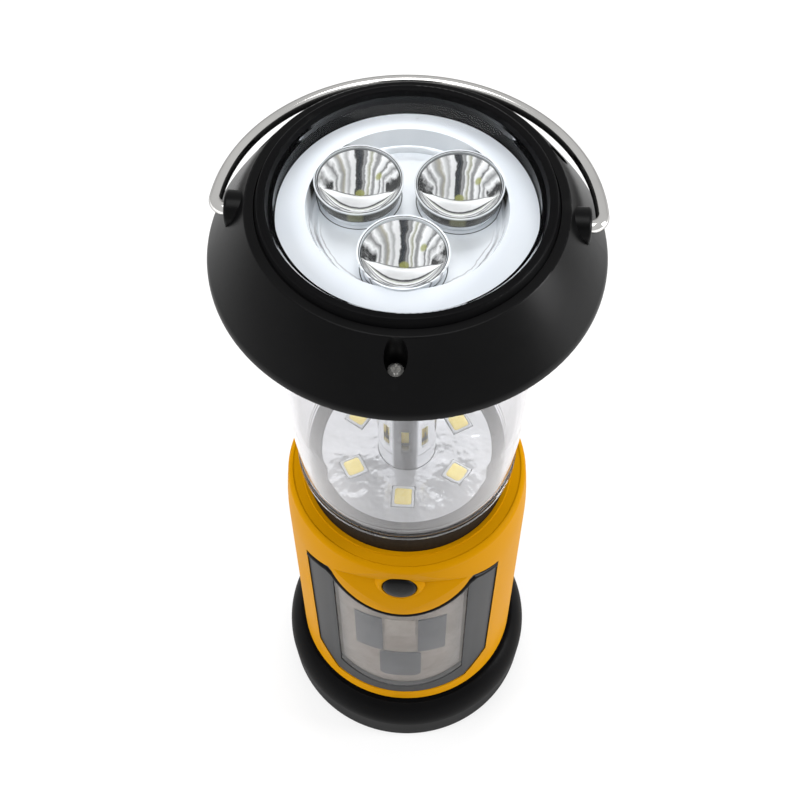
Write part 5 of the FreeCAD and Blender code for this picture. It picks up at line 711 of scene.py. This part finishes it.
def chamber_lens():
    """The lantern's clear barrel: one smooth swell above a foot with two shallow beads.

    Its outline is in (inset from the widest radius, rise above the foot).
    """
    low, high = box("lantern_lens")
    tall = high[2] - low[2]
    wall = 2.0
    swell = [(2.45, 4.8), (1.9, 12.8), (1.3, 21.8), (0.75, 32.3), (0.3, 60.8), (0.0, tall)]
    foot = [(4.8, 1.2), (8.7, 1.2), (8.7, 0.0), (2.65, 0.0), (2.3, 0.3), (2.3, 1.3), (2.6, 1.6), (2.6, 2.0),
            (2.3, 2.4), (2.3, 3.1), (2.6, 3.5)]
    outside = smooth_way(swell, steps=8)
    inside = [(inset + wall, rise) for inset, rise in reversed(outside)]
    loops = [ring_loop((0, 0), high[0] - inset, low[2] + rise, steps=160)
             for inset, rise in outside + inside + foot]
    item = show("lantern_barrel", *skin(loops, closed=True), barrel_clear)
    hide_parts("lantern_lens")


def bead(name, path, radius, material, steps=10):
    """A round bead along points, closed at both ends."""
    loops = []
    for index, point in enumerate(path):
        ahead = Vector(path[min(index + 1, len(path) - 1)]) - Vector(path[max(index - 1, 0)])
        ahead.normalize()
        side = ahead.cross(Vector((0, 1, 0))).normalized()
        over = ahead.cross(side)
        loops.append([tuple(Vector(point) + (side * math.cos(a) + over * math.sin(a)) * radius)
                      for a in (2 * math.pi * k / steps for k in range(steps))])
    return show(name, *skin(loops), material)


def on_front(x, z, radius):
    """The point at this place across and up, on the front of an upright cylinder."""
    return (x, -math.sqrt(radius * radius - x * x), z)


WINDOW_RADIUS = -box("front_bezel")[0][1] - 0.2
TONGUE_RADIUS = 21.6
TONGUE_MIDDLE = 119.9


def tongue_way(drop, radius, reach, steps=48):
    """Points this far below the tongue's round edge, out to an angle of reach each side of its foot."""
    points = []
    spread = TONGUE_RADIUS + drop
    for k in range(steps + 1):
        angle = math.radians(-reach + 2 * reach * k / steps)
        points.append(on_front(spread * math.sin(angle), TONGUE_MIDDLE - spread * math.cos(angle), radius))
    return points


def window_trims():
    """A black bead of painted shade under the tongue, a bright bead below it as a painted highlight on the
    window's edge, and black beads of painted shade along the frame's upper edges.
    """
    black, bright = finishes["black_satin"], finishes["wire_steel"]
    # A black bead in the gap under the tongue, painted shade
    gap_shade = tongue_way(drop=1.35, radius=WINDOW_RADIUS - 0.05, reach=68.0)
    # A bright bead standing in for the highlight along the window's edge, a painted highlight
    edge = tongue_way(drop=2.6, radius=WINDOW_RADIUS + 0.05, reach=62.0)
    pieces = [bead("window_gap_shade", gap_shade, 0.85, black), bead("window_edge_highlight", edge, 0.18, bright)]
    # Black beads at the frame's upper edges, painted shade under the yellow overhang
    corner = [(27.9, 108.5), (26.2, 109.4), (23.8, 110.7), (21.7, 111.6), (20.6, 110.4)]
    for side, way in (("left", -1), ("right", 1)):
        path = [on_front(way * x, z, WINDOW_RADIUS) for x, z in corner]
        pieces.append(bead("frame_shade_" + side, path, 1.1, black))


BUTTON_PLACE = (0, -33.4, 114.0)
BUTTON_TILT = -97.0


def button_rows(rows):
    """Loops about the push button's axis, from (radius, depth) rows."""
    place = Matrix.Translation(Vector(BUTTON_PLACE)) @ Matrix.Rotation(math.radians(BUTTON_TILT), 4, "X")
    return [[tuple(place @ Vector(point)) for point in ring_loop((0, 0), r, z, steps=64)] for r, z in rows]


def button_cap():
    """The push button: a proud dome on its flanged stem, in a low sleeve that stands out of the scoop."""
    cap = [(0.3, -2.85), (2.2, -2.72), (3.8, -2.4), (4.6, -2.0), (5.0, -1.5), (5.05, 0.6), (6.0, 0.9),
           (6.0, 4.2), (7.1, 4.2), (7.1, 5.1), (0.3, 5.1)]
    item = show("button_cap", *skin(button_rows(cap)), finishes["black_satin"], body="button", sharp=50.0)
    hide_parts("power_button")
    sleeve = [(5.2, -0.3), (5.2, -1.3), (5.35, -1.5), (5.6, -1.52), (6.2, -1.25), (7.0, -0.6), (7.4, 0.0),
              (6.2, 0.3)]
    item = show("button_sleeve", *skin(button_rows(sleeve), closed=True), finishes["yellow_plastic"])


floor_lamps()
cup_optics()
lamp_chips()
chamber_lens()
window_trims()
button_cap()


# Floor, backdrop and light, in metres


def floor_material():
    """A pale matt floor that keeps its shadow near the object and fades to white away from it."""
    shadow_end, white_start = 0.25, 0.9
    near_glow, far_glow = 0.72, 1.0
    graph = Graph("studio floor")
    fine = graph.noise(40.0, 3.0, 0.5)
    base = graph.blend(fine, (0.93, 0.93, 0.93), (0.95, 0.95, 0.95))
    plain = graph.set(graph.add("ShaderNodeBsdfDiffuse"), {"Color": base})
    glow = graph.set(graph.add("ShaderNodeEmission"), {"Color": (1.0, 1.0, 1.0, 1.0), "Strength": 1.0})
    path = graph.add("ShaderNodeLightPath")
    seen = graph.math("MAXIMUM", path.outputs["Is Camera Ray"], path.outputs["Is Transmission Ray"])
    share = graph.remap(graph.away(), shadow_end, white_start, near_glow, far_glow)
    graph.mixed(graph.math("MULTIPLY", seen, share), plain, glow)
    return graph.material


def add_card(name, corners, material):
    """A flat four-cornered card that isn't part of the object."""
    mesh = bpy.data.meshes.new(name)
    mesh.from_pydata(corners, [], [(0, 1, 2, 3)])
    mesh.materials.append(material)
    card = bpy.data.objects.new(name, mesh)
    bpy.context.scene.collection.objects.link(card)
    return card


def add_floor():
    half, z = 4.0, -0.0002
    corners = [(-half, -half, z), (half, -half, z), (half, half, z), (-half, half, z)]
    add_card("floor", corners, floor_material())


SKY_LIGHT = 0.42
SKY_MIRRORED = 0.6
SKY_SEEN = 1.0


def add_world():
    """White where it is seen, directly or through glass, greyer where it is mirrored, dimmer as a light."""
    world = bpy.data.worlds.new("studio")
    bpy.context.scene.world = world
    world.use_nodes = True
    tree = world.node_tree
    tree.nodes.clear()
    out = tree.nodes.new("ShaderNodeOutputWorld")
    path = tree.nodes.new("ShaderNodeLightPath")

    def sky(strength):
        made = tree.nodes.new("ShaderNodeBackground")
        made.inputs["Color"].default_value = (1, 1, 1, 1)
        made.inputs["Strength"].default_value = strength
        return made.outputs[0]

    shown = sky(SKY_LIGHT)
    for ray, strength in (("Is Glossy Ray", SKY_MIRRORED), ("Is Camera Ray", SKY_SEEN),
                          ("Is Transmission Ray", SKY_SEEN)):
        mix = tree.nodes.new("ShaderNodeMixShader")
        tree.links.new(path.outputs[ray], mix.inputs[0])
        tree.links.new(shown, mix.inputs[1])
        tree.links.new(sky(strength), mix.inputs[2])
        shown = mix.outputs[0]
    tree.links.new(shown, out.inputs["Surface"])


def add_light(name, place, aim, width, height, power, mirrored=True):
    """A soft box that faces its aim, seen in glossy surfaces only where it is mirrored."""
    light = bpy.data.lights.new(name, "AREA")
    light.shape = "RECTANGLE"
    light.size = width
    light.size_y = height
    light.energy = power
    item = bpy.data.objects.new(name, light)
    item.location = place
    item.rotation_euler = (Vector(aim) - Vector(place)).to_track_quat("-Z", "Y").to_euler()
    item.visible_glossy = mirrored
    bpy.context.scene.collection.objects.link(item)


add_floor()
add_world()
add_light("softbox left", (-1.1, -0.35, 0.75), (0, 0, 0.14), 0.9, 0.9, 11.0, mirrored=False)
add_light("softbox right", (1.15, -0.05, 0.52), (0, 0, 0.16), 0.35, 0.6, 10.0)
add_light("softbox rear", (0.1, 1.1, 1.0), (0, 0, 0.2), 1.2, 0.6, 12.0, mirrored=False)
add_light("softbox top", (0.0, -0.1, 1.6), (0, 0, 0.1), 1.0, 1.0, 9.0)


# Camera at the photograph's angle, and the dark flag behind it that bright metal mirrors

LENS = 63.0
SENSOR = 36.0
ROLL = math.radians(-0.406)
CAMERA = Vector((0.0125, -0.2014, 0.4918))
FORWARD = Vector((-0.0374, 0.5211, -0.8526)).normalized()
FLAG_BEHIND = 0.25
FLAG_HALF_WIDTH = 0.13
FLAG_HALF_HEIGHT = 0.24

level_right = FORWARD.cross(Vector((0, 0, 1))).normalized()
level_up = level_right.cross(FORWARD)
right = level_right * math.cos(ROLL) + level_up * math.sin(ROLL)
up = level_up * math.cos(ROLL) - level_right * math.sin(ROLL)


def add_camera():
    view = bpy.data.cameras.new("camera")
    view.lens = LENS
    view.sensor_width = SENSOR
    view.clip_start = 0.01
    eye = bpy.data.objects.new("camera", view)
    eye.matrix_world = Matrix.Translation(CAMERA) @ Matrix((right, up, -FORWARD)).transposed().to_4x4()
    bpy.context.scene.collection.objects.link(eye)
    bpy.context.scene.camera = eye


def add_flag():
    graph = Graph("black flag")
    fine = graph.noise(60.0, 3.0, 0.5)
    base = graph.blend(fine, (0.015, 0.015, 0.015), (0.03, 0.03, 0.03))
    graph.principled({"Base Color": base, "Roughness": 0.9, "Specular IOR Level": 0.1})
    middle = CAMERA - FORWARD * FLAG_BEHIND
    wide, tall = right * FLAG_HALF_WIDTH, up * FLAG_HALF_HEIGHT
    corners = [middle - wide - tall, middle + wide - tall, middle + wide + tall, middle - wide + tall]
    flag = add_card("flag", corners, graph.material)
    for ray in ("camera", "diffuse", "volume_scatter", "shadow"):
        setattr(flag, "visible_" + ray, False)


add_camera()
bpy.context.scene.view_settings.view_transform = "Standard"
add_flag()
